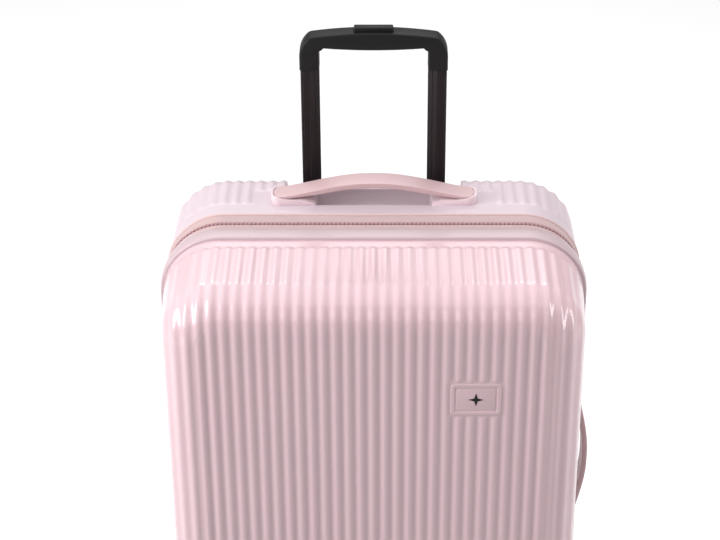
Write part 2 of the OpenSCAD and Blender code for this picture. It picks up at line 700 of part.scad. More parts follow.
badge_recess = 1.6;
module badge_outline(g) {
    translate([badge_x, y_front, z_top - badge_drop]) rotate([90, 0, 0]) linear_extrude(2 * badge_recess, center = true)
        round_rect(badge_w + 2 * g, badge_h + 2 * g, 2.5);
}
module front_shell() color("#f1d6dc") in_frame() difference() {
    front_block(0);
    difference() {
        front_block(wall);
        translate([0, wall + 0.5, 0]) badge_outline(2);
    }
    badge_outline(0);
    for (right = [false, true]) at_caster(right, false) caster_holes();
}
module front_band() color("#e0ccd4") in_frame() {
    hoop(y_band, y_ezip, band_proud, -wall);
    hoop(y_band - 0.5, y_ezip, -wall - 0.1, -wall - 2);
    intersection() {
        front_block(wall + 0.05);
        hoop(y_band - 10, y_band, 0, -wall - 2.6);
    }
}
module front_lining() color("#8f8790") in_frame() intersection() {
    front_block(wall + free);
    lining(y_band - 12, y_front + 22, -1);
}
module divider_panel() color("#a59ca3") in_frame()
    upright(y_band - 15.5, y_band - 14) outline(-lining_gap - cloth_t - 0.5);
module badge_plate() color("#e7c6cd") in_frame() translate([badge_x, y_front + badge_recess, z_top - badge_drop])
    rotate([90, 0, 0]) linear_extrude(badge_recess - 0.2) round_rect(badge_w - 1, badge_h - 1, 2);
// A plain four-pointed star
module badge_emblem() color("#161314") in_frame()
    translate([badge_x, y_front + 0.2, z_top - badge_drop]) rotate([90, 0, 0]) linear_extrude(0.3)
        polygon([for (i = [0:7]) let (r = i % 2 == 0 ? 8 : 2.6) [r * sin(45 * i), r * cos(45 * i)]]);
module front_screws() color("#b9b6b8") in_frame() for (right = [false, true]) caster_screw_set(right, false);

// ---- carry straps ----

module top_handle_strap() color("#e5c9cf") in_frame() at_top_handle() strap_shape();
module side_handle_strap() color("#e5c9cf") in_frame() at_side_handle() strap_shape();

// ---- telescopic handle ----

module trolley_mid_tubes() color("#3a3436") in_frame() rail_tubes(tube_bottom, mid_top, mid_grow);
module trolley_upper_tubes() color("#3a3436") in_frame() rail_tubes(upper_bottom, grip_z + socket_up, -rail_wall);
grip_w = rails_w + 1.5;
leg_w = rail_w + 1;
crown_r = 486;
belly_r = 694;
module grip_outline() {
    difference() {
        intersection() {
            translate([0, grip_z]) round_rect(grip_w, 2 * grip_h, 27);
            translate([0, grip_z + grip_h - crown_r]) circle(crown_r, $fn = 360);
            translate([-grip_w, grip_z]) square([2 * grip_w, grip_h + 1]);
        }
        difference() {
            translate([-grip_w / 2 + leg_w, grip_z - cut]) square([grip_w - 2 * leg_w, bar_z + 4 - grip_z + cut]);
            translate([0, bar_z + belly_r]) circle(belly_r, $fn = 360);
        }
    }
}
module trolley_grip() color("#1d1b1c") in_frame() difference() {
    translate([0, rail_y + grip_d / 2, 0]) rotate([90, 0, 0]) linear_extrude(grip_d) grip_outline();
    at_rails() translate([0, 0, grip_z - cut]) linear_extrude(socket_up + cut) rail_section(0);
    at_rails() translate([0, 0, grip_z]) cylinder(h = cavity_z[1] - grip_z, r = rod_r + 1.5);
    span_box([-rail_x - 4, rail_y - 5, cavity_z[0]], [rail_x + 4, rail_y + 5, cavity_z[1] - 1]);
    span_box([-button_w / 2 - free, rail_y - button_d / 2 - free, cavity_z[0]],
        [button_w / 2 + free, rail_y + button_d / 2 + free, grip_z + grip_h + cut]);
    span_box([-rail_x + leg_w, rail_y - 6, bar_z - 3], [rail_x - leg_w, rail_y + 6, cavity_z[0] + cut]);
}
module grip_cover() color("#262324") in_frame()
    span_box([-rail_x + leg_w + 0.3, rail_y - 5.7, bar_z + 1], [rail_x - leg_w - 0.3, rail_y + 5.7, cavity_z[0] - 0.2]);
module grip_button() color("#171516") in_frame()
    span_box([-button_w / 2, rail_y - button_d / 2, link_z[1]], [button_w / 2, rail_y + button_d / 2, grip_z + grip_h + button_proud]);
module push_rods() color("#9a979a") in_frame() {
    span_box([-rail_x - 3, rail_y - 3, link_z[0]], [rail_x + 3, rail_y + 3, link_z[1]]);
    at_rails() translate([0, 0, upper_bottom + 6]) cylinder(h = link_z[0] + 1 - upper_bottom - 6, r = rod_r);
}

// ---- zip sliders and pulls ----

module upper_slider() color("#c9c4c2") in_frame() main_slider(slider_z);
module upper_pull() color("#d9b3b8") in_frame() main_pull(slider_z);
module lower_slider() color("#c9c4c2") in_frame() main_slider(lower_slider_z);
module lower_pull() color("#d9b3b8") in_frame() main_pull(lower_slider_z);

// ---- casters ----

module fork_front_left() color("#2b2829") in_frame() caster_fork(false, false);
module fork_front_right() color("#2b2829") in_frame() caster_fork(true, false);
module fork_rear_left() color("#2b2829") in_frame() caster_fork(false, true);
module fork_rear_right() color("#2b2829") in_frame() caster_fork(true, true);
module hubs_front_left() color("#e3c8ce") in_frame() wheel_hubs(false, false);
module hubs_front_right() color("#e3c8ce") in_frame() wheel_hubs(true, false);
module hubs_rear_left() color("#e3c8ce") in_frame() wheel_hubs(false, true);
module hubs_rear_right() color("#e3c8ce") in_frame() wheel_hubs(true, true);
module tyres_front_left() color("#2a2728") in_frame() wheel_tyres(false, false);
module tyres_front_right() color("#2a2728") in_frame() wheel_tyres(true, false);
module tyres_rear_left() color("#2a2728") in_frame() wheel_tyres(false, true);
module tyres_rear_right() color("#2a2728") in_frame() wheel_tyres(true, true);

rear_shell();
rear_lining();
rear_zip_tape();
rear_zip_teeth();
rear_piping();
hinge_tape();
trolley_bezel();
trolley_outer_tubes();
trolley_foot_bracket();
top_handle_bases();
side_handle_bases();
handle_backing_plates();
lock_body();
rear_caster_housings();
rear_screws();
packing_straps();
strap_buckles();
front_zip_tape();
front_zip_teeth();
expansion_zip();
expansion_gusset();
front_shell();
front_band();
front_lining();
divider_panel();
badge_plate();
badge_emblem();
front_caster_housings();
front_screws();
top_handle_strap();
side_handle_strap();
trolley_mid_tubes();
trolley_upper_tubes();
trolley_grip();
grip_cover();
grip_button();
push_rods();
upper_slider();
upper_pull();
lower_slider();
lower_pull();
expansion_slider();
expansion_pull();
lock_dial_1();
lock_dial_2();
lock_dial_3();
lock_button();
lock_key_core();
fork_front_left();
fork_front_right();
fork_rear_left();
fork_rear_right();
hubs_front_left();
hubs_front_right();
hubs_rear_left();
hubs_rear_right();
tyres_front_left();
tyres_front_right();
tyres_rear_left();
tyres_rear_right();
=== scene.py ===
"""Hard shell suitcase on wheels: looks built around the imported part."""
import math

import bpy
import numpy as np
from mathutils import Matrix, Vector


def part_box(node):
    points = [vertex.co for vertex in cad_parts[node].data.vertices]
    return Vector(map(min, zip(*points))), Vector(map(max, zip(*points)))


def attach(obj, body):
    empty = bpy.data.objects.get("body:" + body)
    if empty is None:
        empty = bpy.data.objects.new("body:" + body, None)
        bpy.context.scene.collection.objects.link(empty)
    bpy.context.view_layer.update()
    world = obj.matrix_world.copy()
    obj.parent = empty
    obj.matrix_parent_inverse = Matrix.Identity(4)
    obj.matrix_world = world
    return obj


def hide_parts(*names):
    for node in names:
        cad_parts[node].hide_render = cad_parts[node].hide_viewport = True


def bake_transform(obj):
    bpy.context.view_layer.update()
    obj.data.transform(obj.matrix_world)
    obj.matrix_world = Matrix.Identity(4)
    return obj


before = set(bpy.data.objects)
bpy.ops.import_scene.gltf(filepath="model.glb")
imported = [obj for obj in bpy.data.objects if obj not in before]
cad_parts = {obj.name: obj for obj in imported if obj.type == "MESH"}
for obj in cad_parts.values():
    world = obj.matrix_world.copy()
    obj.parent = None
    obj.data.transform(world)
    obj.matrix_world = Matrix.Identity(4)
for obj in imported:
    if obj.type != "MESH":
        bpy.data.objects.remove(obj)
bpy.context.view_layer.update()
bpy.ops.object.select_all(action="DESELECT")
MM = 0.001


# ---------------------------------------------------------------- the case's own measures

front_low, front_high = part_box("front_shell")
rear_low, rear_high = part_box("rear_shell")
MIDDLE_X = (rear_low.x + rear_high.x) / 2
HALF_W = (rear_high.x - rear_low.x) / 2
HALF_H = (rear_high.z - rear_low.z) / 2
MIDDLE_Z = (rear_high.z + rear_low.z) / 2
Z_TOP = rear_high.z
Y_FRONT, Y_BAND = front_low.y, front_high.y
Y_RIM, Y_BACK = rear_low.y, rear_high.y
Y_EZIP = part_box("front_band")[1].y
Y_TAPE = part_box("expansion_zip")[1].y
TEETH_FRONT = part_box("front_zip_teeth")
TEETH_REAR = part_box("rear_zip_teeth")
Y_SEAM = (TEETH_FRONT[1].y + TEETH_REAR[0].y) / 2
CORNER = 65 * MM
WALL = 2.4 * MM
FRONT_EDGE, FRONT_DRAFT = 40 * MM, 7.6 * MM
REAR_EDGE = 30 * MM
# Turns a shape drawn flat so that it stands upright and faces the front
UPRIGHT = Matrix.Rotation(math.pi / 2, 4, "X")
RIB_PITCH = 12.9 * MM
RIB_HEIGHT = 1.7 * MM
handle_low, handle_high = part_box("top_handle_strap")
HANDLE_Y = (handle_low.y + handle_high.y) / 2
side_low, side_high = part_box("side_handle_strap")
SIDE_Z = (side_low.z + side_high.z) / 2
grip_low, grip_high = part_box("trolley_grip")
RAIL_Y = (grip_low.y + grip_high.y) / 2
bezel_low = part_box("trolley_bezel")[0]
WELL_FLOOR = bezel_low.z
WELL_HALF = 98 * MM
WELL_Y = bezel_low.y - 0.5 * MM
badge_low, badge_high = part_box("badge_plate")
BADGE = (badge_low + badge_high) / 2


def ease(value):
    """0 to 1 with level ends, for numbers and arrays."""
    value = np.clip(value, 0.0, 1.0)
    return value * value * (3 - 2 * value)


# ---------------------------------------------------------------- placing and finishing pieces

def select_only(piece):
    bpy.ops.object.select_all(action="DESELECT")
    piece.select_set(True)
    bpy.context.view_layer.objects.active = piece


def apply_modifier(piece, kind, **settings):
    select_only(piece)
    modifier = piece.modifiers.new(kind.lower(), kind)
    for key, value in settings.items():
        setattr(modifier, key, value)
    bpy.ops.object.modifier_apply(modifier=modifier.name)


def settle(piece):
    """Moves the piece's place into its mesh, so that its object sits at the origin."""
    select_only(piece)
    bpy.ops.object.transform_apply(location=True, rotation=True, scale=True)
    return piece


def smooth(piece, degrees=35):
    select_only(piece)
    bpy.ops.object.shade_smooth_by_angle(angle=math.radians(degrees))
    return piece


def soften(piece, width, segments=2, degrees=30):
    apply_modifier(piece, "BEVEL", width=width, segments=segments, limit_method="ANGLE",
                   angle_limit=math.radians(degrees))
    return smooth(piece)


def dress(piece, name, body, material, nodes=()):
    """Names the piece, gives it its finish and hangs it on its body."""
    piece.name = name
    piece.data.name = name
    piece.data.materials.clear()
    for one in material if isinstance(material, (list, tuple)) else [material]:
        piece.data.materials.append(one)
    if body:
        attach(piece, body)
    if nodes:
        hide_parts(*nodes)
    return piece


def outward(piece):
    """Turns the faces of a closed piece outward."""
    select_only(piece)
    bpy.ops.object.mode_set(mode="EDIT")
    bpy.ops.mesh.select_all(action="SELECT")
    bpy.ops.mesh.normals_make_consistent(inside=False)
    bpy.ops.object.mode_set(mode="OBJECT")
    return piece


def placed(name, data):
    """A new piece from a mesh, a curve or a text."""
    piece = bpy.data.objects.new(name, data)
    bpy.context.collection.objects.link(piece)
    return piece


def laid_out(name, points, faces, uvs=None):
    """A mesh laid out point by point."""
    mesh = bpy.data.meshes.new(name)
    mesh.from_pydata([tuple(p) for p in points], [], faces)
    mesh.update()
    if uvs is not None:
        layer = mesh.uv_layers.new(name="Along")
        layer.data.foreach_set("uv", np.asarray(uvs, float).ravel())
    return placed(name, mesh)


def cad_copy(node, name):
    """A copy of a CAD node with its loose triangles merged into whole faces."""
    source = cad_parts[node]
    piece = placed(name, source.data.copy())
    select_only(piece)
    bpy.ops.object.mode_set(mode="EDIT")
    bpy.ops.mesh.select_all(action="SELECT")
    bpy.ops.mesh.remove_doubles(threshold=2e-6)
    bpy.ops.mesh.dissolve_limited(angle_limit=math.radians(0.5))
    bpy.ops.object.mode_set(mode="OBJECT")
    return piece


def rounded_copy(node, name, body, material, width, segments=2, degrees=30):
    piece = cad_copy(node, name)
    soften(piece, width, segments, degrees)
    return dress(piece, name, body, material, [node])


# ---------------------------------------------------------------- outline of the case

def corner_samples(count):
    """Angles from straight up to straight right, for a quarter of the outline."""
    return [math.pi / 2 * i / count for i in range(count + 1)]


def hoop_outline(count=22, straights=(8, 12)):
    """Points round the case, clockwise from the front, as (centre x, centre z, normal x, normal z)."""
    half_x, half_z = HALF_W - CORNER, HALF_H - CORNER
    samples = []
    for quarter, (sx, sz) in enumerate([(1, 1), (1, -1), (-1, -1), (-1, 1)]):
        for angle in corner_samples(count):
            turn = angle + quarter * math.pi / 2
            samples.append((sx * half_x, sz * half_z, math.sin(turn), math.cos(turn)))
        following = [(1, -1), (-1, -1), (-1, 1), (1, 1)][quarter]
        steps = straights[1] if quarter % 2 == 0 else straights[0]
        for step in range(1, steps):
            share = step / steps
            turn = (quarter + 1) * math.pi / 2
            samples.append((half_x * (sx + share * (following[0] - sx)),
                            half_z * (sz + share * (following[1] - sz)),
                            math.sin(turn), math.cos(turn)))
    return np.array(samples)


def hoop(name, profile, count=22):
    """A closed profile of (y, offset from the case's side) carried round the case."""
    outline = hoop_outline(count)
    rows, turns = len(profile), len(outline)
    points = []
    for x, z, nx, nz in outline:
        for y, offset in profile:
            reach = CORNER + offset
            points.append((MIDDLE_X + x + reach * nx, y, MIDDLE_Z + z + reach * nz))
    points = np.array(points).reshape(turns, rows, 3)
    along = np.concatenate([[0], np.cumsum(np.linalg.norm(
        np.roll(points[:, 0], -1, 0) - points[:, 0], axis=1))])
    steps = np.linalg.norm(np.roll(points[0], -1, 0) - points[0], axis=1)
    across = np.concatenate([[0], np.cumsum(steps)])
    faces, uvs = [], []
    for i in range(turns):
        for j in range(rows):
            faces.append((i * rows + j, i * rows + (j + 1) % rows,
                          (i + 1) % turns * rows + (j + 1) % rows, (i + 1) % turns * rows + j))
            uvs += [(along[i], across[j]), (along[i], across[j + 1]),
                    (along[i + 1], across[j + 1]), (along[i + 1], across[j])]
    return smooth(outward(laid_out(name, points.reshape(-1, 3), faces, uvs)), 40)


# ---------------------------------------------------------------- shell skins

def shell_columns(extra=()):
    """Outline samples for the top of a shell, from the middle of one corner arc to the other."""
    half_x = HALF_W - CORNER
    step = RIB_PITCH / 7
    whole = int(half_x / step)
    xs = sorted({round(i * step, 6) for i in range(-whole, whole + 1)}
                | {round(s * x, 6) for x in extra for s in (-1, 1)} | {-half_x, half_x})
    kept = [xs[0]]
    for x in xs[1:]:
        if x - kept[-1] > 0.25 * MM or x == half_x:
            kept.append(x)
    samples = [(x, 1, 0.0, 1.0) for x in kept]
    arc = [i / 26 * math.pi / 4 for i in range(1, 27)]
    right = [(half_x, 1, math.sin(a), math.cos(a)) for a in arc]
    left = [(-half_x, 1, -math.sin(a), math.cos(a)) for a in reversed(arc)]
    return left + samples + right


def shell_rows(extra=()):
    """Outline samples for the side of a shell, from the middle of the lower corner arc to the upper."""
    half_z = HALF_H - CORNER
    zs = sorted({round(-half_z + 2 * half_z * i / 18, 6) for i in range(19)} | set(extra))
    arc = [i / 12 * math.pi / 4 for i in range(1, 13)]
    lower = [(-half_z, math.cos(a), -math.sin(a)) for a in reversed(arc)]
    upper = [(half_z, math.cos(a), math.sin(a)) for a in arc]
    return lower + [(z, 1.0, 0.0) for z in zs] + upper


def rib_height(x, run, start):
    """Height of the ribs at x, where run is the way along a rib and start is where it begins."""
    half = RIB_PITCH / 2
    across = np.abs((x + half) % RIB_PITCH - half)
    before = np.clip(start + half - run, 0, None)
    reach = np.clip(np.hypot(across, before) / half, 0, 1)
    return RIB_HEIGHT * (0.5 + 0.5 * np.cos(math.pi * reach))


def side_fade(normal_x):
    return 1 - ease((np.abs(normal_x) - 0.80) / 0.16)


def shell_skin(name, side, depth, draft, edge, rings, columns, rows, relief,
               set_in=0.0, y_start=None, wall=WALL - 0.1 * MM):
    """A shell half as one skin of rings round its wall and a grid over its face.

    rings are distances from the rim. relief(points, normals, runs) gives the points back where the
    moulded surface has them. set_in makes the skin smaller all round, as a lining needs.
    """
    half_x, half_z = HALF_W - CORNER, HALF_H - CORNER
    lean = math.atan(draft / depth)
    centre_t = depth - edge
    centre_d = draft * centre_t / depth + edge / math.cos(lean)
    tangent_t = centre_t + edge * math.sin(lean)
    tangent_d = centre_d - edge * math.cos(lean)

    def profile(t):
        """Inset, depth and slope angle at the way t from the rim."""
        if t <= tangent_t:
            return tangent_d * t / tangent_t, t, lean
        angle = lean + (t - tangent_t) / edge
        angle = min(angle, math.pi / 2)
        return centre_d - edge * math.cos(angle), centre_t + edge * math.sin(angle), angle

    top = [(x, half_z, nx, nz) for x, _, nx, nz in columns]
    right = [(half_x, z, nx, nz) for z, nx, nz in reversed(rows)]
    bottom = [(x, -half_z, nx, -nz) for x, _, nx, nz in reversed(columns)]
    left = [(-half_x, z, -nx, nz) for z, nx, nz in rows]
    loop = np.array(top[:-1] + right[:-1] + bottom[:-1] + left[:-1])
    n_loop, n_rings = len(loop), len(rings)
    n_col, n_row = len(columns), len(rows)

    base = np.zeros((n_rings, n_loop, 3))
    normal = np.zeros((n_rings, n_loop, 3))
    run = np.zeros((n_rings, n_loop))
    for k, t in enumerate(rings):
        inset, out, angle = profile(t)
        reach = CORNER - inset - set_in
        base[k, :, 0] = loop[:, 0] + reach * loop[:, 2]
        base[k, :, 2] = loop[:, 1] + reach * loop[:, 3]
        base[k, :, 1] = out
        normal[k, :, 0] = loop[:, 2] * math.cos(angle)
        normal[k, :, 2] = loop[:, 3] * math.cos(angle)
        normal[k, :, 1] = math.sin(angle)
        run[k] = t

    # The face: its border is the last ring, and its inner rows and columns stay straight
    last = base[-1]
    top_edge = last[:n_col]
    right_edge = last[n_col - 1:n_col - 1 + n_row][::-1]
    grid = np.zeros((n_row, n_col, 3))
    corner_x, corner_z = top_edge[-1, 0], top_edge[-1, 2]
    for i in range(n_col):
        x, z_edge = top_edge[i, 0], top_edge[i, 2]
        for j in range(n_row):
            z, x_edge = right_edge[j, 2], right_edge[j, 0]
            px, pz = x, z
            if abs(x) > half_x:
                px = math.copysign(half_x + (abs(x) - half_x) * (x_edge - half_x) / (corner_x - half_x), x)
            if abs(z) > half_z:
                pz = math.copysign(half_z + (abs(z) - half_z) * (z_edge - half_z) / (corner_z - half_z), z)
            grid[j, i] = (px, depth, pz)
    inner = grid[1:-1, 1:-1].reshape(-1, 3)
    points = np.concatenate([base.reshape(-1, 3), inner])
    normals = np.concatenate([normal.reshape(-1, 3), np.tile([0.0, 1.0, 0.0], (len(inner), 1))])
    runs = np.concatenate([run.ravel(), rings[-1] + (corner_z - np.abs(inner[:, 2]))])
    points = relief(points, normals, runs)

    if y_start is None:
        y_start = Y_BAND if side < 0 else Y_RIM
    points[:, 1] = y_start + side * points[:, 1]
    points[:, 0] += MIDDLE_X
    points[:, 2] += MIDDLE_Z

    faces = []
    for k in range(n_rings - 1):
        for i in range(n_loop):
            a, b = k * n_loop + i, k * n_loop + (i + 1) % n_loop
            faces.append((a, b, b + n_loop, a + n_loop))
    first = (n_rings - 1) * n_loop
    start = n_rings * n_loop

    def at(j, i):
        """Point of the face grid at row j from below and column i from the left."""
        if j == n_row - 1:
            return first + i
        if i == n_col - 1:
            return first + n_col - 1 + (n_row - 1 - j)
        if j == 0:
            return first + n_col - 1 + n_row - 1 + (n_col - 1 - i)
        if i == 0:
            return first + (2 * (n_col - 1) + (n_row - 1) + j) % n_loop
        return start + (j - 1) * (n_col - 2) + i - 1
    for j in range(n_row - 1):
        for i in range(n_col - 1):
            faces.append((at(j, i), at(j, i + 1), at(j + 1, i + 1), at(j + 1, i)))
    piece = outward(laid_out(name, points, faces))
    # On an open skin the sign of the face decides which way the wall grows
    face = max(piece.data.polygons, key=lambda p: side * p.center.y)
    if face.normal.y * side < 0:
        piece.data.flip_normals()
    apply_modifier(piece, "SOLIDIFY", thickness=wall, offset=-1, use_even_offset=False)
    return smooth(piece, 50)


# ---------------------------------------------------------------- shader maths

class Wire:
    """A shader socket. Arithmetic on it adds Math nodes, and node() adds any other."""

    def __init__(self, tree, socket):
        self.tree, self.socket = tree, socket

    def node(self, kind, settings=None, **values):
        made = self.tree.nodes.new("ShaderNode" + kind)
        for key, value in (settings or {}).items():
            setattr(made, key, value)
        for key, value in values.items():
            at = int(key[1:]) if key[0] == "i" and key[1:].isdigit() else key.replace("_", " ")
            plug(self.tree, value, made.inputs[at])
        return Wire(self.tree, made.outputs[0])

    def maths(self, operation, *values):
        return self.node("Math", {"operation": operation},
                         **{f"i{i}": value for i, value in enumerate(values)})

    def __add__(self, other): return self.maths("ADD", self, other)
    def __sub__(self, other): return self.maths("SUBTRACT", self, other)
    def __rsub__(self, other): return self.maths("SUBTRACT", other, self)
    def __mul__(self, other): return self.maths("MULTIPLY", self, other)
    def __truediv__(self, other): return self.maths("DIVIDE", self, other)
    def __pow__(self, other): return self.maths("POWER", self, other)
    __radd__, __rmul__ = __add__, __mul__

    def sine(self): return self.maths("SINE", self)


def plug(tree, value, socket):
    if isinstance(value, Wire):
        tree.links.new(value.socket, socket)
    else:
        socket.default_value = value


def srgb(red, green, blue):
    """A colour given as 0 to 255, for a shader."""
    return tuple([((c / 255 + 0.055) / 1.055) ** 2.4 if c > 10 else c / 255 / 12.92
                  for c in (red, green, blue)] + [1.0])


class Finish:
    """A material: fixed values on the shader's sockets, and wires for what varies."""

    def __init__(self, name, **fixed):
        self.material = bpy.data.materials.new(name)
        self.material.use_nodes = True
        self.tree = self.material.node_tree
        self.shader = self.tree.nodes["Principled BSDF"]
        for key, value in fixed.items():
            self.shader.inputs[key.replace("_", " ")].default_value = value
        coordinates = self.tree.nodes.new("ShaderNodeTexCoord")
        self.place = Wire(self.tree, coordinates.outputs["Object"])
        self.strip = Wire(self.tree, coordinates.outputs["UV"])

    def axes(self, wire):
        split = self.tree.nodes.new("ShaderNodeSeparateXYZ")
        plug(self.tree, wire, split.inputs[0])
        return [Wire(self.tree, out) for out in split.outputs]

    def noise(self, scale, detail=3.0, roughness=0.5, stretch=None):
        """Soft noise from 0 to 1; scale is in features per metre."""
        at = self.place
        if stretch:
            at = at.node("Mapping", Vector=at, Scale=stretch)
        return at.node("TexNoise", {"noise_dimensions": "3D"}, Vector=at, Scale=scale,
                       Detail=detail, Roughness=roughness)

    def blend(self, share, first, second):
        mix = self.tree.nodes.new("ShaderNodeMix")
        mix.data_type = "RGBA"
        plug(self.tree, share, mix.inputs["Factor"])
        plug(self.tree, first, mix.inputs[6])
        plug(self.tree, second, mix.inputs[7])
        return Wire(self.tree, mix.outputs[2])

    def colour(self, wire):
        plug(self.tree, wire, self.shader.inputs["Base Color"])
        return self

    def varies(self, socket, wire):
        plug(self.tree, wire, self.shader.inputs[socket])
        return self

    def bump(self, height, strength, distance):
        raised = self.place.node("Bump", Height=height, Strength=strength, Distance=distance)
        plug(self.tree, raised, self.shader.inputs["Normal"])
        return self


def moulded(name, base, light, grain, depth, rough, coat=0.0, rough_coat=0.1, gloss=0.5):
    """Moulded plastic: a fine grain, a slow drift of tone, and a gloss that wanders a little."""
    finish = Finish(name, Coat_Weight=coat, Coat_Roughness=rough_coat, Specular_IOR_Level=gloss)
    drift = finish.noise(9.0, 2.0)
    fine = finish.noise(grain, 2.0, 0.6)
    tone = (drift - 0.5) * 0.9 + 0.5
    finish.colour(finish.blend(tone, base, light))
    finish.varies("Roughness", (finish.noise(60.0, 3.0) - 0.5) * 0.12 + rough)
    return finish.bump(fine, 0.6, depth).material


shell_gloss = moulded("shell_gloss", srgb(215, 184, 191), srgb(220, 190, 196), 900.0, 0.012 * MM,
                      0.22, 0.35, 0.06)
rear_gloss = moulded("rear_shell_gloss", srgb(207, 190, 198), srgb(211, 195, 202), 900.0, 0.012 * MM,
                     0.4, 0.12, 0.15)
band_satin = moulded("band_satin", srgb(193, 171, 176), srgb(198, 177, 182), 2600.0, 0.02 * MM,
                     0.38, 0.1, 0.2)
handle_satin = moulded("handle_satin", srgb(203, 172, 175), srgb(208, 179, 181), 3200.0, 0.03 * MM,
                       0.42, 0.08, 0.25)
foot_satin = moulded("foot_satin", srgb(221, 199, 205), srgb(225, 204, 210), 2600.0, 0.03 * MM,
                     0.36, 0.1, 0.2)
black_plastic = moulded("black_plastic", srgb(15, 14, 15), srgb(20, 19, 20), 3000.0, 0.05 * MM,
                        0.5, gloss=0.25)
piping_rubber = moulded("piping_rubber", srgb(208, 181, 182), srgb(213, 187, 188), 2400.0, 0.02 * MM,
                        0.5)


def woven(name, base, dark, thread, depth, sheen=0.25):
    """Woven cloth on a strip: threads over and under, with worn tone between them."""
    finish = Finish(name, Sheen_Weight=sheen, Sheen_Roughness=0.4)
    along, across, _ = finish.axes(finish.strip)
    warp = (along * (2 * math.pi / thread)).sine()
    weft = (across * (2 * math.pi / thread)).sine()
    over = warp * weft * 0.5 + 0.5
    drift = finish.noise(40.0, 3.0)
    tone = over * 0.55 + drift * 0.45
    finish.colour(finish.blend(tone, dark, base))
    finish.varies("Roughness", drift * 0.15 + 0.68)
    return finish.bump(over, 0.7, depth).material


def woven_plain(name, base, dark, thread, depth, sheen=0.2):
    """The same cloth on a piece without a strip of its own."""
    finish = Finish(name, Sheen_Weight=sheen, Sheen_Roughness=0.4)
    x, y, z = finish.axes(finish.place)
    one = ((x + y) * (2 * math.pi / thread)).sine()
    two = ((z + y) * (2 * math.pi / thread)).sine()
    over = one * two * 0.5 + 0.5
    drift = finish.noise(30.0, 3.0)
    finish.colour(finish.blend(over * 0.5 + drift * 0.5, dark, base))
    finish.varies("Roughness", drift * 0.15 + 0.68)
    return finish.bump(over, 0.7, depth).material


tape_cloth = woven("tape_cloth", srgb(200, 173, 172), srgb(182, 154, 154), 1.1 * MM, 0.12 * MM)
lining_cloth = woven_plain("lining_cloth", srgb(150, 140, 148), srgb(118, 108, 116), 1.4 * MM, 0.1 * MM)
webbing_cloth = woven_plain("webbing_cloth", srgb(120, 110, 117), srgb(88, 79, 86), 1.8 * MM, 0.2 * MM)
teeth_nylon = moulded("teeth_nylon", srgb(158, 118, 124), srgb(172, 132, 138), 1500.0, 0.02 * MM,
                      0.36)


def metal(name, base, light, stretch, rough, metallic=1.0):
    """Metal drawn along one axis: fine streaks in tone and gloss."""
    finish = Finish(name, Metallic=metallic)
    streak = finish.noise(1.0, 3.0, 0.6, stretch)
    finish.colour(finish.blend(streak, base, light))
    finish.varies("Roughness", streak * 0.2 + rough)
    return finish.bump(streak, 0.3, 0.01 * MM).material


rail_metal = metal("rail_anodised", srgb(27, 21, 23), srgb(40, 32, 34), (4000, 4000, 30), 0.34, 0.6)
steel = metal("steel", srgb(176, 172, 170), srgb(205, 201, 198), (2500, 2500, 60), 0.22)
# Dark liner colour, darkened further as painted shade for the narrow groove round the badge panel
groove_liner_and_shade = moulded("groove_liner_and_shade", srgb(96, 66, 72), srgb(110, 78, 84), 2000.0, 0.02 * MM, 0.5)
hub_plastic = moulded("hub_plastic", srgb(214, 182, 188), srgb(220, 190, 195), 1800.0, 0.02 * MM, 0.3, 0.2)
tyre_rubber = moulded("tyre_rubber", srgb(42, 40, 42), srgb(54, 51, 53), 1500.0, 0.05 * MM, 0.6)
dial_white = moulded("dial_white", srgb(236, 230, 228), srgb(242, 237, 234), 1500.0, 0.01 * MM, 0.35)
gusset_cloth = woven_plain("gusset_cloth", srgb(196, 160, 165), srgb(168, 132, 138), 1.2 * MM, 0.1 * MM)


# ---------------------------------------------------------------- camera, light and floor

def build_camera():
    camera_data = bpy.data.cameras.new("camera")
    camera_data.lens = 93.2
    camera_data.sensor_width = 36.0
    camera_data.shift_x = -0.0333
    camera_data.clip_end = 60.0
    camera = placed("camera", camera_data)
    camera.location = (MIDDLE_X + 11.3 * MM, Y_FRONT - 1.643, Z_TOP + 0.953)
    camera.rotation_euler = (math.radians(90 - 29.3), 0, 0)
    bpy.context.scene.camera = camera


def area_light(name, place, aim, width, height, power):
    data = bpy.data.lights.new(name, "AREA")
    data.shape = "RECTANGLE"
    data.size, data.size_y = width, height
    data.energy = power
    lamp = placed(name, data)
    lamp.location = place
    lamp.rotation_euler = (Vector(aim) - Vector(place)).to_track_quat("-Z", "Y").to_euler()


def build_studio():
    world = bpy.data.worlds.new("studio")
    world.use_nodes = True
    bpy.context.scene.world = world
    shade = world.node_tree.nodes["Background"]
    shade.inputs["Color"].default_value = (1.0, 0.985, 0.99, 1.0)
    shade.inputs["Strength"].default_value = 0.33
    middle = (MIDDLE_X, 0, 0.45)
    area_light("soft_ceiling", (0.0, 2.0, 4.4), (0, 2.0, 0), 9.0, 9.0, 252)
    area_light("soft_back", (0.0, 2.0, 2.45), (0, 0, 0.6), 1.8, 0.22, 8)
    area_light("soft_left", (-2.0, -0.75, 1.35), middle, 1.0, 1.6, 46)
    area_light("soft_front", (-1.1, -2.0, 1.6), middle, 1.4, 1.2, 7)
    area_light("soft_right", (2.2, -0.35, 1.1), middle, 0.5, 1.8, 22)
    bpy.context.scene.view_settings.view_transform = "Standard"

    bpy.ops.mesh.primitive_grid_add(x_subdivisions=8, y_subdivisions=8, size=24)
    floor = bpy.context.active_object
    settle(floor)
    finish = Finish("studio_floor", Roughness=0.9)
    drift = finish.noise(0.6, 2.0)
    finish.colour(finish.blend(drift, srgb(246, 246, 246), srgb(250, 250, 250)))
    floor.data.materials.append(finish.material)
    floor.name = "studio_floor"
    floor.visible_diffuse = False


# ---------------------------------------------------------------- the two shells

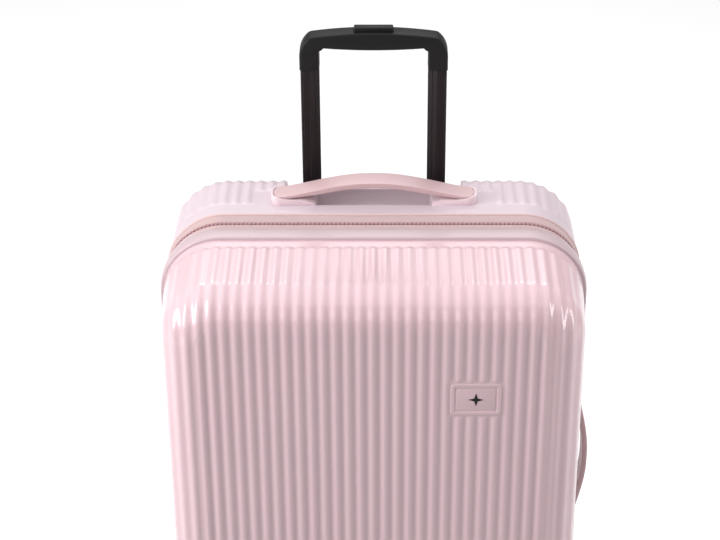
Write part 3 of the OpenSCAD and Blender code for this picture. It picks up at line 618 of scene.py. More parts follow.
RIB_START_FRONT = 11.5 * MM
RIB_START_REAR = 20.5 * MM
PAD_HALF = 135 * MM
PAD_END = 53 * MM
SCOOP_HALF = 64.5 * MM
SCOOP_FROM, SCOOP_TO = 21.0 * MM, 54.1 * MM
SCOOP_DEPTH = 13 * MM
BADGE_FLAT = (28 * MM, 20.5 * MM)


def even(start, end, step):
    count = max(1, round((end - start) / step))
    return [start + (end - start) * i / count for i in range(count)]


def front_relief(points, normals, runs):
    x, z = points[:, 0], points[:, 2]
    upright = side_fade(normals[:, 0])
    height = rib_height(x, runs, RIB_START_FRONT) * upright
    off_x = np.abs(x - (BADGE.x - MIDDLE_X)) - BADGE_FLAT[0]
    off_z = np.abs(z - (BADGE.z - MIDDLE_Z)) - BADGE_FLAT[1]
    far = np.hypot(np.clip(off_x + 4 * MM, 0, None), np.clip(off_z + 4 * MM, 0, None)) - 4 * MM
    near = (1 - ease(far / (3.5 * MM))) * (normals[:, 1] > 0.99)
    height = height * (1 - near) + 0.75 * MM * near
    return points + normals * height[:, None]


def build_front_shell():
    # The wall leans in by this angle, which shortens the arc of the rounded edge
    lean = 0.0633
    arc = FRONT_EDGE * (math.pi / 2 - lean)
    bend, tangent = 80 * MM, 82.5 * MM
    rings = (even(0, 10 * MM, 5 * MM) + even(10 * MM, 19 * MM, 0.9 * MM) + even(19 * MM, bend, 10 * MM)
             + even(bend, bend + arc, 1.95 * MM) + [tangent + arc])
    badge_z = BADGE.z - MIDDLE_Z
    extra = [badge_z + s * off * MM for s in (-1, 1) for off in (0, 6, 12, 15, 17, 18.5, 20, 21.5, 23, 25)]
    piece = shell_skin("front_shell_skin", -1, Y_BAND - Y_FRONT, FRONT_DRAFT, FRONT_EDGE, rings,
                       shell_columns(), shell_rows(extra), front_relief)
    dress(piece, "front_shell_skin", "front_half", shell_gloss, ["front_shell"])


def notch_path(share):
    """Depth from the rim and drop from the top along the well's front wall and floor."""
    rim, floor = WELL_Y - Y_RIM, Z_TOP - WELL_FLOOR
    length = np.asarray(share) * (floor + (Y_BACK - WELL_Y))
    down = np.minimum(length, floor)
    back = np.clip(length - floor, 0, None)
    return rim + back, down


def rear_relief(points, normals, runs):
    x, z = points[:, 0].copy(), points[:, 2].copy()
    upright = side_fade(normals[:, 0])
    crest = np.round(np.abs(x) / RIB_PITCH) * RIB_PITCH
    upper = z > 0
    middle = (crest < PAD_HALF) & upper
    well = (crest < WELL_HALF) & upper
    start = np.where(middle, PAD_END, RIB_START_REAR)
    below_well = np.where(well, np.abs(Z_TOP - MIDDLE_Z - z), 0)
    height = rib_height(x, runs, start)
    floor_drop = Z_TOP - WELL_FLOOR
    ribs_back = rib_height(x, below_well, floor_drop + 10 * MM)
    height = np.where(well, ribs_back * (below_well > floor_drop), height) * upright
    # The scoop for the hand, deepest behind its steep front wall
    radius = ((SCOOP_TO - SCOOP_FROM - 3 * MM) ** 2 + SCOOP_DEPTH ** 2) / (2 * SCOOP_DEPTH)
    along = runs - SCOOP_FROM - 3 * MM
    dip = np.sqrt(np.clip(radius ** 2 - along ** 2, 0, None)) - radius + SCOOP_DEPTH
    dip = np.where(along < 0, SCOOP_DEPTH, np.clip(dip, 0, None))
    dip = dip * ease((runs - SCOOP_FROM) / (3.4 * MM)) * (runs < SCOOP_TO + 0.1 * MM)
    dip = dip * (1 - ease((np.abs(x) - SCOOP_HALF + 1.5 * MM) / (3 * MM))) * upper
    # A raised lip between the scoop and the well
    lip = 3.0 * MM * ease((runs - SCOOP_TO + 1.6 * MM) / (1.6 * MM)) * (runs < WELL_Y - Y_RIM + 0.1 * MM)
    lip = lip * (1 - ease((np.abs(x) - SCOOP_HALF + 6 * MM) / (8 * MM))) * upper
    rolled = 1.9 * MM * (1 - np.sqrt(np.clip(1 - (1 - np.clip(runs / (2.4 * MM), 0, 1)) ** 2, 0, 1)))
    out = points + normals * (height - dip + lip - rolled)[:, None]
    # The well for the trolley: the way back over the edge is laid down its wall and along its floor
    rim = WELL_Y - Y_RIM
    over_edge = Y_BACK - REAR_EDGE - WELL_Y + REAR_EDGE * math.pi / 2
    whole = over_edge + floor_drop - REAR_EDGE
    share = np.clip((runs - rim) / whole, 0, 1)
    on_face = normals[:, 1] > 0.9999
    drop_here = Z_TOP - MIDDLE_Z - z
    share = np.where(on_face, (over_edge + drop_here - REAR_EDGE) / whole, share)
    inside = (share > 0) & (share <= 1.0001) & upper
    depth, drop = notch_path(np.clip(share, 0, 1))
    weight = (1 - ease((np.abs(x) - WELL_HALF + 1.5 * MM) / (3 * MM))) * inside
    out[:, 1] = out[:, 1] * (1 - weight) + depth * weight
    out[:, 2] = out[:, 2] * (1 - weight) + (Z_TOP - MIDDLE_Z - drop) * weight
    return out


def build_rear_shell():
    well = WELL_Y - Y_RIM
    arc = REAR_EDGE * math.pi / 2
    bend = 72 * MM
    rings = (even(0, 2.4 * MM, 0.4 * MM) + even(2.4 * MM, 19 * MM, 6 * MM)
             + even(19 * MM, 27 * MM, 0.85 * MM) + even(27 * MM, 51 * MM, 3 * MM)
             + even(51 * MM, well - 1 * MM, 1.2 * MM) + even(well - 1 * MM, well + 4 * MM, 0.9 * MM)
             + even(well + 4 * MM, bend, 2.2 * MM) + even(bend, bend + arc, 2 * MM)
             + [bend + arc])
    extra_x = [SCOOP_HALF + off * MM for off in (-1.5, -0.75, 0, 0.75, 1.5)]
    extra_x += [WELL_HALF + off * MM for off in (-1.5, -0.9, -0.3, 0.3, 0.9, 1.5)]
    floor = WELL_FLOOR - MIDDLE_Z
    # Rows are given where the side is straight, and the well's floor lies among the corner's rows
    below = [floor - down * MM for down in (0, 6, 10, 13, 16, 20)]
    extra_z = [z for z in below if abs(z) < HALF_H - CORNER]
    piece = shell_skin("rear_shell_skin", 1, Y_BACK - Y_RIM, 0.0, REAR_EDGE, rings,
                       shell_columns(extra_x), shell_rows(extra_z), rear_relief)
    dress(piece, "rear_shell_skin", "root", rear_gloss, ["rear_shell"])


# ---------------------------------------------------------------- band, zips and piping

def mm_profile(start, pairs):
    """Profile points given as (back from start, out of the case's side), in millimetres."""
    return [(start + y * MM, offset * MM) for y, offset in pairs]


def round_profile(middle_y, middle_offset, radius, base, count=10):
    """A piping's half-round with a flat foot: points in millimetres, turned into metres."""
    points = [(middle_y - radius * MM, base * MM)]
    for i in range(count + 1):
        angle = math.pi * i / count
        points.append((middle_y - radius * MM * math.cos(angle),
                       (middle_offset + radius * math.sin(angle)) * MM))
    points.append((middle_y + radius * MM, base * MM))
    return points


def band_ring(name, profile, body, material, nodes=()):
    return dress(hoop(name, profile), name, body, material, nodes)


def teeth_row(name, start, end, body, node, lead):
    """One side of the zip: a nylon coil seen from outside, as a row of small blocks."""
    pitch = 4.6 * MM
    outline = hoop_outline(40, (160, 220))
    ring = np.array([(MIDDLE_X + x + CORNER * nx, MIDDLE_Z + z + CORNER * nz)
                     for x, z, nx, nz in outline])
    steps = np.linalg.norm(np.roll(ring, -1, 0) - ring, axis=1)
    along = np.concatenate([[0], np.cumsum(steps)])
    count = int(along[-1] / pitch)
    normals = outline[:, 2:4]
    points, faces = [], []
    for i in range(count):
        at = (i + lead) / count * along[-1] % along[-1]
        k = min(int(np.searchsorted(along, at, "right")) - 1, len(ring) - 1)
        share = (at - along[k]) / steps[k]
        x, z = ring[k] + share * (ring[(k + 1) % len(ring)] - ring[k])
        nx, nz = normals[k]
        tx, tz = nz, -nx
        low, high = -1.3 * MM, 0.55 * MM
        first = len(points)
        for y, wide, tall in ((start, 1.1, high - 0.35 * MM), (start + 0.6 * MM, 1.5, high),
                              (end - 0.7 * MM, 1.5, high), (end, 0.9, high - 0.3 * MM)):
            shoulder = tall - 0.15 * MM
            for side, up in ((-1, low), (-1, shoulder), (-0.4, tall), (0.4, tall), (1, shoulder), (1, low)):
                points.append((x + nx * up + tx * side * wide * MM, y, z + nz * up + tz * side * wide * MM))
        for j in range(3):
            for m in range(6):
                a, b = first + j * 6 + m, first + j * 6 + (m + 1) % 6
                faces.append((a, b, b + 6, a + 6))
        faces.append(tuple(first + m for m in reversed(range(6))))
        faces.append(tuple(first + 18 + m for m in range(6)))
    piece = outward(laid_out(name, points, faces))
    return dress(smooth(piece, 50), name, body, teeth_nylon, [node])


def build_band_and_zips():
    band_ring("front_band_rim", mm_profile(Y_BAND, [
        (0, -2.3), (0, 2.1), (0.3, 2.9), (1.0, 3.5), (2.4, 3.8), (6.5, 4.2), (11, 4.35), (15.5, 4.2),
        (19.2, 3.8), (19.9, 3.3), (20.4, 3.3), (20.8, 3.7), (21.5, 3.6), (22, 3.0), (22, -2.3)]),
        "front_half", band_satin, ["front_band"])
    band_ring("expansion_tape", mm_profile(Y_EZIP, [
        (0.3, -7.0), (0.3, -1.9), (0.9, -1.6), (4.6, -1.9), (5, -2.2), (5, -7.0)]),
        "zip_ring", tape_cloth, ["expansion_zip"])
    band_ring("expansion_piping", round_profile(Y_EZIP + 2.3 * MM, -0.4, 1.7, -1.8), "zip_ring",
              piping_rubber)
    band_ring("front_zip_cloth", mm_profile(Y_TAPE, [
        (0.1, -2.9), (0.1, -2.4), (1.6, -2.2), (2.4, -0.2), (4, 0.15), (8, 0.1), (9.2, -0.5), (11.6, -1.3),
        (11.6, -2.9)]),
        "zip_ring", tape_cloth, ["front_zip_tape"])
    band_ring("rear_zip_cloth", mm_profile(Y_SEAM, [
        (0.3, -2.9), (0.3, -1.3), (2.6, -0.9), (3.8, 0.1), (8, 0.3), (14, 0.25), (18.0, 0.1), (19.6, -0.9),
        (22.9, -1.4), (22.9, -2.9)]),
        "root", tape_cloth, ["rear_zip_tape"])
    band_ring("rear_piping_cord", round_profile(Y_RIM - 2.1 * MM, -0.2, 1.75, -0.8), "root",
              piping_rubber, ["rear_piping"])
    band_ring("expansion_zip_coil", mm_profile(Y_TAPE, [
        (-0.7, -2.6), (-0.7, -1.2), (-0.2, -0.8), (1.4, -0.8), (1.9, -1.2), (1.9, -2.6)]),
        "zip_ring", teeth_nylon)
    # Two thin dark rings either side of the rear piping: painted shade for the grooves between the piping
    # and the shell's rim, and between the piping and the tape
    seams = [hoop("piping_shade_strip", mm_profile(Y_RIM, pairs)) for pairs in (
        [(-0.5, -1.8), (-0.5, -0.7), (0.2, -0.4), (1.3, -0.4), (1.8, -0.7), (1.8, -1.8)],
        [(-5.4, -1.8), (-5.4, -0.7), (-4.9, -0.35), (-3.8, -0.35), (-3.4, -0.7), (-3.4, -1.8)])]
    dress(join(seams, "piping_shade_lines"), "piping_shade_lines", "root", teeth_nylon)
    teeth_row("front_zip_coil", Y_SEAM - 2.9 * MM, Y_SEAM + 0.25 * MM, "zip_ring", "front_zip_teeth", 0.0)
    teeth_row("rear_zip_coil", Y_SEAM - 0.25 * MM, Y_SEAM + 2.9 * MM, "root", "rear_zip_teeth", 0.5)


# ---------------------------------------------------------------- carry handles

STRAP_HALF = 112 * MM
STRAP_W = 27 * MM
STRAP_T = 6 * MM
STRAP_TOP = handle_high.z - Z_TOP
ARCH_END = STRAP_HALF - 22 * MM
ARCH_BEND = 2.5


def arch(x):
    """How far the strap has dropped at x from its middle."""
    reach = abs(x)
    sunk = 4.6 * MM * ease((reach - 10 * MM) / (80 * MM))
    if reach < ARCH_END:
        return ARCH_BEND * reach * reach / 2 + sunk
    past = reach - ARCH_END
    return ARCH_BEND * ARCH_END * (ARCH_END / 2 + past - past * past / (44 * MM)) + sunk


def carry_strap(name):
    """A strap in its own frame: X along it, Z out of the shell."""
    bpy.ops.mesh.primitive_grid_add(x_subdivisions=80, y_subdivisions=10, size=1)
    piece = bpy.context.active_object
    piece.scale = (2 * STRAP_HALF, STRAP_W, 1)
    settle(piece)
    end, radius = STRAP_HALF, 10 * MM
    for vertex in piece.data.vertices:
        x, y = vertex.co.x, vertex.co.y
        over = max(0.0, abs(x) - (end - radius))
        widest = STRAP_W / 2 - radius + math.sqrt(max(radius * radius - over * over, 0))
        y *= widest / (STRAP_W / 2)
        crown = 0.7 * MM * (1 - (2 * y / STRAP_W) ** 2)
        vertex.co = (x, y, STRAP_TOP - arch(x) + crown - 0.7 * MM)
    apply_modifier(piece, "SOLIDIFY", thickness=STRAP_T, offset=-1)
    # Thinner towards its ends
    for vertex in piece.data.vertices:
        top = STRAP_TOP - arch(vertex.co.x)
        thin = 1 - 0.42 * ease((abs(vertex.co.x) - 50 * MM) / (50 * MM))
        vertex.co.z = top - (top - vertex.co.z) * thin
    soften(piece, 1.3 * MM, 3, 50)
    tongues = [box_between((x * MM, -4.5 * MM, -4 * MM), ((x + 12) * MM, 4.5 * MM, 10 * MM))
               for x in (-100, 88)]
    for tongue in tongues:
        soften(tongue, 0.6 * MM)
    return join([piece] + tongues, name)


def box_between(low, high):
    """A block from one corner to the other, to be shaped further."""
    low, high = Vector(low), Vector(high)
    bpy.ops.mesh.primitive_cube_add(size=1, location=(low + high) / 2)
    piece = bpy.context.active_object
    piece.scale = high - low
    return settle(piece)


def join(pieces, name):
    bpy.ops.object.select_all(action="DESELECT")
    for piece in pieces:
        piece.select_set(True)
    bpy.context.view_layer.objects.active = pieces[0]
    bpy.ops.object.join()
    pieces[0].name = name
    return pieces[0]


def build_carry_handles():
    top = carry_strap("top_carry_strap")
    top.data.transform(Matrix.Translation((MIDDLE_X, HANDLE_Y, Z_TOP)))
    dress(top, "top_carry_strap", "top_handle", handle_satin, ["top_handle_strap"])
    side = carry_strap("side_carry_strap")
    side.data.transform(Matrix.Translation((MIDDLE_X + HALF_W, HANDLE_Y, SIDE_Z))
                        @ Matrix.Rotation(math.pi / 2, 4, "Y"))
    dress(side, "side_carry_strap", "side_handle", handle_satin, ["side_handle_strap"])
    for node, name, face, middle, up, run in (
            ("top_handle_bases", "top_handle_feet", Z_TOP, MIDDLE_X, 2, 0),
            ("side_handle_bases", "side_handle_feet", MIDDLE_X + HALF_W, SIDE_Z, 0, 2)):
        feet = rounded_copy(node, name, "root", foot_satin, 0.7 * MM)
        # The rim is low beside the strap and rises round its end
        for vertex in feet.data.vertices:
            height = vertex.co[up] - face
            if height > 0:
                outer = ease((abs(vertex.co[run] - middle) - 92 * MM) / (22 * MM))
                plate, rim = min(height, 8.2 * MM), max(height - 8.2 * MM, 0)
                vertex.co[up] = face + 0.76 * plate + 0.78 * outer * rim


# ---------------------------------------------------------------- telescopic handle

RAIL_W, RAIL_D = 20.7 * MM, 13 * MM
RAIL_X = (161 * MM - RAIL_W) / 2
upper_low, upper_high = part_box("trolley_upper_tubes")


def drawn_face(name, outline):
    """A flat face in X and Y with its corners moved to the outline's, as a start for an extrusion."""
    bpy.ops.mesh.primitive_circle_add(vertices=len(outline), radius=0.01, fill_type="NGON")
    piece = bpy.context.active_object
    piece.name = name
    for vertex, (x, y) in zip(piece.data.vertices, outline):
        vertex.co = (x, y, 0)
    return piece


def extruded(piece, height):
    select_only(piece)
    bpy.ops.object.mode_set(mode="EDIT")
    bpy.ops.mesh.select_all(action="SELECT")
    bpy.ops.mesh.extrude_region_move(TRANSFORM_OT_translate={"value": (0, 0, height)})
    bpy.ops.mesh.select_all(action="SELECT")
    bpy.ops.mesh.normals_make_consistent(inside=False)
    bpy.ops.object.mode_set(mode="OBJECT")
    return piece


def groove(a, b, share, width, depth):
    """Three points of a small V cut into the edge from a to b."""
    a, b = Vector(a), Vector(b)
    run = (b - a).normalized()
    inward = Vector((-run.y, run.x))
    middle = a.lerp(b, share)
    return [tuple(middle - run * width / 2), tuple(middle + inward * depth), tuple(middle + run * width / 2)]


def rail_outline():
    """Section of an upper rail with the fine grooves that run up it; the outer edge is at x = 0."""
    w, d = RAIL_W / MM, RAIL_D / MM
    corners = [(0, 1.2), (1.2, 0), (w * 0.52, 0), (w, d * 0.5), (w, d - 1), (w - 1, d), (1, d), (0, d - 1)]
    line = [corners[0], corners[1]]
    line += groove(corners[1], corners[2], 0.16, 0.7, 0.45) + groove(corners[1], corners[2], 0.86, 0.7, 0.45)
    line += [corners[2]] + groove(corners[2], corners[3], 0.5, 0.8, 0.5) + corners[3:]
    return [((x - w / 2) * MM, (y - d / 2) * MM) for x, y in line]


def build_rails():
    pieces = []
    for mirror in (1, -1):
        outline = [(x * mirror, y) for x, y in rail_outline()]
        piece = extruded(drawn_face("rail", outline), upper_high.z - upper_low.z - 4 * MM)
        piece.data.transform(Matrix.Translation((MIDDLE_X - mirror * RAIL_X, RAIL_Y, upper_low.z)))
        pieces.append(smooth(piece, 25))
    rails = join(pieces, "upper_rails")
    soften(rails, 0.12 * MM, 1, 30)
    dress(rails, "upper_rails", "upper_stage", rail_metal, ["trolley_upper_tubes"])
    rounded_copy("trolley_mid_tubes", "middle_rails", "mid_stage", rail_metal, 0.15 * MM, 1)
    rounded_copy("trolley_bezel", "trolley_floor_plate", "root", black_plastic, 0.6 * MM)


def arc_points(middle, radius, start, end, count):
    return [(middle[0] + radius * math.cos(start + (end - start) * i / count),
             middle[1] + radius * math.sin(start + (end - start) * i / count)) for i in range(count + 1)]


def build_grip():
    """The grip: a bar with a crowned top and a belly underneath, and a short leg over each rail."""
    half = (grip_high.x - grip_low.x) / 2
    height = grip_high.z - grip_low.z
    leg = RAIL_W + 1 * MM
    bar = 23.6 * MM
    crown, belly = 486 * MM, 694 * MM
    corner = 27 * MM
    line = [(half - leg, 0.0), (half, 0.0)]
    # Outer corner, flattened onto the crown where they meet
    for x, z in arc_points((half - corner, height - corner), corner, 0, math.pi / 2, 14):
        top = height - crown + math.sqrt(crown ** 2 - x ** 2)
        line.append((x, min(z, top)))
    for i in range(1, 12):
        x = (half - corner) * (1 - 2 * i / 12)
        line.append((x, height - crown + math.sqrt(crown ** 2 - x ** 2)))
    for x, z in reversed(arc_points((half - corner, height - corner), corner, 0, math.pi / 2, 14)):
        top = height - crown + math.sqrt(crown ** 2 - x ** 2)
        line.append((-x, min(z, top)))
    line += [(-half, 0.0), (-half + leg, 0.0)]
    inner = half - leg
    under = [(-inner + 5 * MM * (1 - math.cos(a)), bar + 0.5 * MM + 2 * MM * math.sin(a) - 2.6 * MM)
             for a in (0, math.pi / 6, math.pi / 3)]
    line += [(-inner, bar - 4 * MM)] + under
    for i in range(15):
        x = -inner + 5 * MM + (2 * inner - 10 * MM) * i / 14
        line.append((x, bar + belly - math.sqrt(belly ** 2 - x ** 2)))
    line += [(-x, z) for x, z in reversed(under)] + [(inner, bar - 4 * MM)]
    deep = (grip_high.y - grip_low.y) / 2
    curve = bpy.data.curves.new("grip_line", "CURVE")
    curve.dimensions, curve.fill_mode = "2D", "BOTH"
    spline = curve.splines.new("POLY")
    spline.points.add(len(line) - 1)
    for point, (x, z) in zip(spline.points, line):
        point.co = (x, z, 0, 1)
    spline.use_cyclic_u = True
    edge = 2.6 * MM
    curve.extrude, curve.bevel_depth, curve.offset, curve.bevel_resolution = deep - edge, edge, -edge, 3
    piece = placed("grip_line", curve)
    select_only(piece)
    bpy.ops.object.convert(target="MESH")
    piece = bpy.context.active_object
    piece.data.transform(Matrix.Translation((MIDDLE_X, RAIL_Y, grip_low.z)) @ UPRIGHT)
    select_only(piece)
    bpy.ops.object.mode_set(mode="EDIT")
    bpy.ops.mesh.select_all(action="SELECT")
    bpy.ops.mesh.remove_doubles(threshold=0.02 * MM)
    bpy.ops.mesh.normals_make_consistent(inside=False)
    bpy.ops.object.mode_set(mode="OBJECT")
    button_low, button_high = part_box("grip_button")
    gap = Vector((0.35, 0.35, 0.3)) * MM
    # The pocket leaves room for the button's travel
    travel = Vector((0, 0, 4.8 * MM))
    cutter = box_between(button_low - gap - travel, button_high + gap + travel)
    apply_modifier(piece, "BOOLEAN", operation="DIFFERENCE", object=cutter, solver="EXACT")
    bpy.data.objects.remove(cutter)
    dress(smooth(piece, 30), "grip_body", "upper_stage", black_plastic,
          ["trolley_grip", "grip_cover"])
    rounded_copy("grip_button", "grip_release_button", "button", black_plastic, 1.6 * MM, 3)


# ---------------------------------------------------------------- badge

def rounded_plate(name, half_x, half_z, radius, thick, y_face, edge, hole=None):
    """A flat plate standing in X and Z, with round corners; hole leaves a frame of that width."""
    bpy.ops.mesh.primitive_plane_add(size=2)
    piece = bpy.context.active_object
    piece.name = name
    piece.scale = (half_x, half_z, 1)
    settle(piece)
    select_only(piece)
    bpy.ops.object.mode_set(mode="EDIT")
    bpy.ops.mesh.select_all(action="SELECT")
    bpy.ops.mesh.bevel(offset=radius, segments=6, affect="VERTICES")
    if hole:
        bpy.ops.mesh.select_all(action="SELECT")
        bpy.ops.mesh.inset(thickness=hole)
        bpy.ops.mesh.delete(type="FACE")
    bpy.ops.object.mode_set(mode="OBJECT")
    extruded(piece, -thick)
    piece.data.transform(Matrix.Translation((BADGE.x, y_face, BADGE.z)) @ UPRIGHT)
    return soften(piece, edge, 3)


def build_badge():
    ring = rounded_plate("badge_surround", 27 * MM, 19.5 * MM, 5 * MM, 2.4 * MM,
                         Y_FRONT - 1.35 * MM, 0.6 * MM, hole=4.6 * MM)
    dress(ring, "badge_surround", "front_half", shell_gloss)
    # A dark bed seen through the gap round the panel: partly its liner, partly painted shade in the gap
    bed = rounded_plate("badge_liner_and_shade", 22.8 * MM, 15.3 * MM, 2 * MM, 1.2 * MM, Y_FRONT + 0.1 * MM, 0.1 * MM)
    dress(bed, "badge_liner_and_shade", "front_half", groove_liner_and_shade)
    plate = rounded_plate("badge_panel", 20.7 * MM, 13.2 * MM, 2 * MM, 1.8 * MM,
                          Y_FRONT - 1.05 * MM, 0.35 * MM)
    dress(plate, "badge_panel", "front_half", shell_gloss, ["badge_plate"])
    bpy.ops.mesh.primitive_circle_add(vertices=8, radius=8.2 * MM, fill_type="NGON")
    star = bpy.context.active_object
    for i, vertex in enumerate(star.data.vertices):
        if i % 2:
            vertex.co *= 0.32
    extruded(star, 0.35 * MM)
    star.data.transform(Matrix.Translation((BADGE.x, Y_FRONT - 1.0 * MM, BADGE.z)) @ UPRIGHT)
    soften(star, 0.1 * MM, 1)
    dress(star, "badge_star", "front_half", black_plastic, ["badge_emblem"])


# ---------------------------------------------------------------- casters

def turned(name, outline, steps=56):
    """A closed outline of (along the axle, radius) turned about the X axis."""
    bpy.ops.mesh.primitive_circle_add(vertices=len(outline), radius=0.01, fill_type="NOTHING")
    piece = bpy.context.active_object
    piece.name = name
    for vertex, (x, radius) in zip(piece.data.vertices, outline):
        vertex.co = (x * MM, 0, radius * MM)
    select_only(piece)
    bpy.ops.object.mode_set(mode="EDIT")
    bpy.ops.mesh.select_all(action="SELECT")
    bpy.ops.mesh.spin(steps=steps, angle=2 * math.pi, center=(0, 0, 0), axis=(1, 0, 0))
    bpy.ops.mesh.select_all(action="SELECT")
    bpy.ops.mesh.remove_doubles(threshold=0.002 * MM)
    bpy.ops.mesh.normals_make_consistent(inside=False)
    bpy.ops.object.mode_set(mode="OBJECT")
    return smooth(piece, 32)


def round_cap(x_from, x_to, radius, count=6):
    """Outline of a low dome between two places on the axle."""
    line = [(x_from, 0.02), (x_from, radius)]
    line += [(x_from + (x_to - x_from) * math.sin(math.pi / 2 * i / count),
              max(radius * math.cos(math.pi / 2 * i / count), 0.02)) for i in range(1, count + 1)]
    return line


def wheel_disc():
    """One wheel's disc with its dished face, five spokes and axle cap; the outside is at +X."""
    disc = turned("disc", [(0, 3.2), (0, 17.3), (10.4, 17.3), (10.7, 16.9), (10.7, 15.6), (10.3, 15.2),
                           (8.9, 14.6), (8.6, 14.0), (8.6, 7.2), (8.9, 6.6), (10.2, 6.0), (10.6, 5.4),
                           (10.6, 3.2)])
    parts = [disc, turned("cap", round_cap(9.4, 11.4, 4.3), 32)]
    for i in range(5):
        spoke = box_between((8.0 * MM, -1.7 * MM, 6.0 * MM), (10.0 * MM, 1.7 * MM, 15.6 * MM))
        soften(spoke, 0.5 * MM)
        spoke.data.transform(Matrix.Rotation(2 * math.pi * i / 5, 4, "X"))
        parts.append(spoke)
    return join(parts, "disc")


def wheel_tyre():
    """A soft tread with round shoulders and two grooves round it."""
    line = [(0.4, 17.5), (0.4, 19.2), (0.7, 20.4), (1.5, 21.3), (2.6, 21.8), (3.5, 22.0),
            (3.8, 21.6), (4.1, 21.6), (4.4, 22.0), (6.6, 22.0), (6.9, 21.6), (7.2, 21.6),
            (7.5, 22.0), (8.4, 21.8), (9.5, 21.3), (10.3, 20.4), (10.6, 19.2), (10.6, 17.5)]
    return turned("tyre", line, 72)


def build_casters():
    first_disc, first_tyre = wheel_disc(), wheel_tyre()
    for where in ("front_left", "front_right", "rear_left", "rear_right"):
        low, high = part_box("tyres_" + where)
        axle = (low + high) / 2
        for kind, source, slot, material in (("discs", first_disc, "hub", hub_plastic),
                                             ("treads", first_tyre, "tyre", tyre_rubber)):
            pair = []
            for out in (1, -1):
                piece = placed(kind, source.data.copy())
                # The second wheel is the first turned about the upright axis
                piece.data.transform(Matrix.Translation(axle + Vector((out * 4.5 * MM, 0, 0)))
                                     @ Matrix.Rotation(0 if out > 0 else math.pi, 4, "Z"))
                pair.append(piece)
            name = ("wheel_discs_" if kind == "discs" else "wheel_treads_") + where
            dress(join(pair, name), name, "wheels_" + where, material,
                  [("hubs_" if kind == "discs" else "tyres_") + where])
        rounded_copy("fork_" + where, "caster_fork_" + where, "caster_" + where,
                     black_plastic, 0.8 * MM)
    bpy.data.objects.remove(first_disc)
    bpy.data.objects.remove(first_tyre)
    for half, body in (("front", "front_half"), ("rear", "root")):
        rounded_copy(half + "_caster_housings", half + "_caster_seats", body, band_satin, 1.0 * MM)


# ---------------------------------------------------------------- lock, sliders and pulls

def lettered_dial(node, name, body, first):
    """A number wheel: notched edge and the figures 0 to 9 round it."""
    low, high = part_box(node)
    middle = (low + high) / 2
    radius, tall = (high.x - low.x) / 2, high.z - low.z
    bpy.ops.mesh.primitive_cylinder_add(vertices=60, radius=radius, depth=tall)
    wheel = bpy.context.active_object
    for vertex in wheel.data.vertices:
        if math.isclose(math.degrees(math.atan2(vertex.co.y, vertex.co.x)) % 36, 18, abs_tol=3.5):
            vertex.co.x *= 0.93
            vertex.co.y *= 0.93
    soften(wheel, 0.18 * MM, 2)
    parts = [wheel]
    wheel.data.materials.append(dial_white)
    for digit in range(10):
        text = bpy.data.curves.new("figure", "FONT")
        text.body = str((digit + first) % 10)
        text.size, text.extrude, text.align_x, text.align_y = 3.1 * MM, 0.12 * MM, "CENTER", "CENTER"
        figure = placed("figure", text)
        select_only(figure)
        bpy.ops.object.convert(target="MESH")
        figure = bpy.context.active_object
        figure.data.materials.clear()
        figure.data.materials.append(black_plastic)
        figure.data.transform(Matrix.Rotation(2 * math.pi * digit / 10, 4, "Z")
                              @ Matrix.Translation((radius - 0.02 * MM, 0, 0))
                              @ Matrix.Rotation(math.pi / 2, 4, "Z") @ UPRIGHT)
        parts.append(figure)
    piece = join(parts, name)
    piece.data.transform(Matrix.Translation(middle))
    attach(piece, body)
    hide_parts(node)


def build_lock():
    rounded_copy("lock_body", "lock_case", "root", handle_satin, 0.6 * MM)
    for i in (1, 2, 3):
        lettered_dial(f"lock_dial_{i}", f"number_wheel_{i}", f"dial_{i}", 3 * i)
    # Only as deep as the case of the lock allows when it is pressed
    low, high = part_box("lock_button")
    release = box_between(low + Vector((2.3 * MM, 0, 0)), high)
    soften(release, 0.5 * MM, 3)
    dress(release, "lock_release", "lock_button", handle_satin, ["lock_button"])
    rounded_copy("lock_key_core", "key_barrel", "key_core", steel, 0.25 * MM)
    for which in ("upper", "lower"):
        rounded_copy(which + "_slider", which + "_zip_slider", which + "_slider", steel, 0.45 * MM)
        rounded_copy(which + "_pull", which + "_zip_pull", which + "_pull", handle_satin, 0.35 * MM)
    rounded_copy("expansion_slider", "expansion_zip_slider", "expansion_slider", steel, 0.2 * MM)
    rounded_copy("expansion_pull", "expansion_zip_pull", "expansion_pull", handle_satin, 0.2 * MM)


# ---------------------------------------------------------------- cloth inside

def lining_relief(seed):
    """Soft puckers of a lining that hangs from its rim."""
    def relief(points, normals, runs):
        x, z = points[:, 0] * 1000, points[:, 2] * 1000
        lift = (np.sin(x / 31 + seed) * np.sin(z / 47 + 2 * seed) + 0.6 * np.sin((x + z) / 23 + seed)
                + 0.5 * np.sin(runs * 1000 / 9 + x / 60))
        return points + normals * (0.45 * MM * lift * ease(runs / (12 * MM)))[:, None]
    return relief


def lining(name, node, side, body, seed):
    low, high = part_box(node)
    depth = high.y - low.y
    inset, edge = 16.4 * MM, 14 * MM
    straight = depth - edge
    whole = straight + edge * math.pi / 2
    rings = even(0, straight, 5 * MM) + even(straight, whole, 2.4 * MM) + [whole]
    y_open = high.y if side < 0 else low.y
    piece = shell_skin(name, side, depth, 0.0, edge, rings, coarse_columns(), shell_rows(),
                       lining_relief(seed), inset, y_open, 0.9 * MM)
    dress(piece, name, body, lining_cloth, [node])
    # Cut as a panel with a wall all round; the rounded edge takes a little off the wall
    half_x, half_z, radius = HALF_W - inset, HALF_H - inset, CORNER - inset
    panel, around = rounded_cut(half_x, half_z, radius)
    panel + around * (depth - edge * (2 - math.pi / 2))
    edge_y = (y_open - 0.6 * MM) if side < 0 else y_open
    lean = 1.2 if side < 0 else 0.0
    ring = [(edge_y, (-2.9 - lean) * MM), (edge_y, -17.3 * MM), (edge_y + 0.9 * MM, -17.3 * MM),
            (edge_y + 0.9 * MM, (-2.9 - lean) * MM)]
    band_ring(name + "_edge", ring, body, lining_cloth)


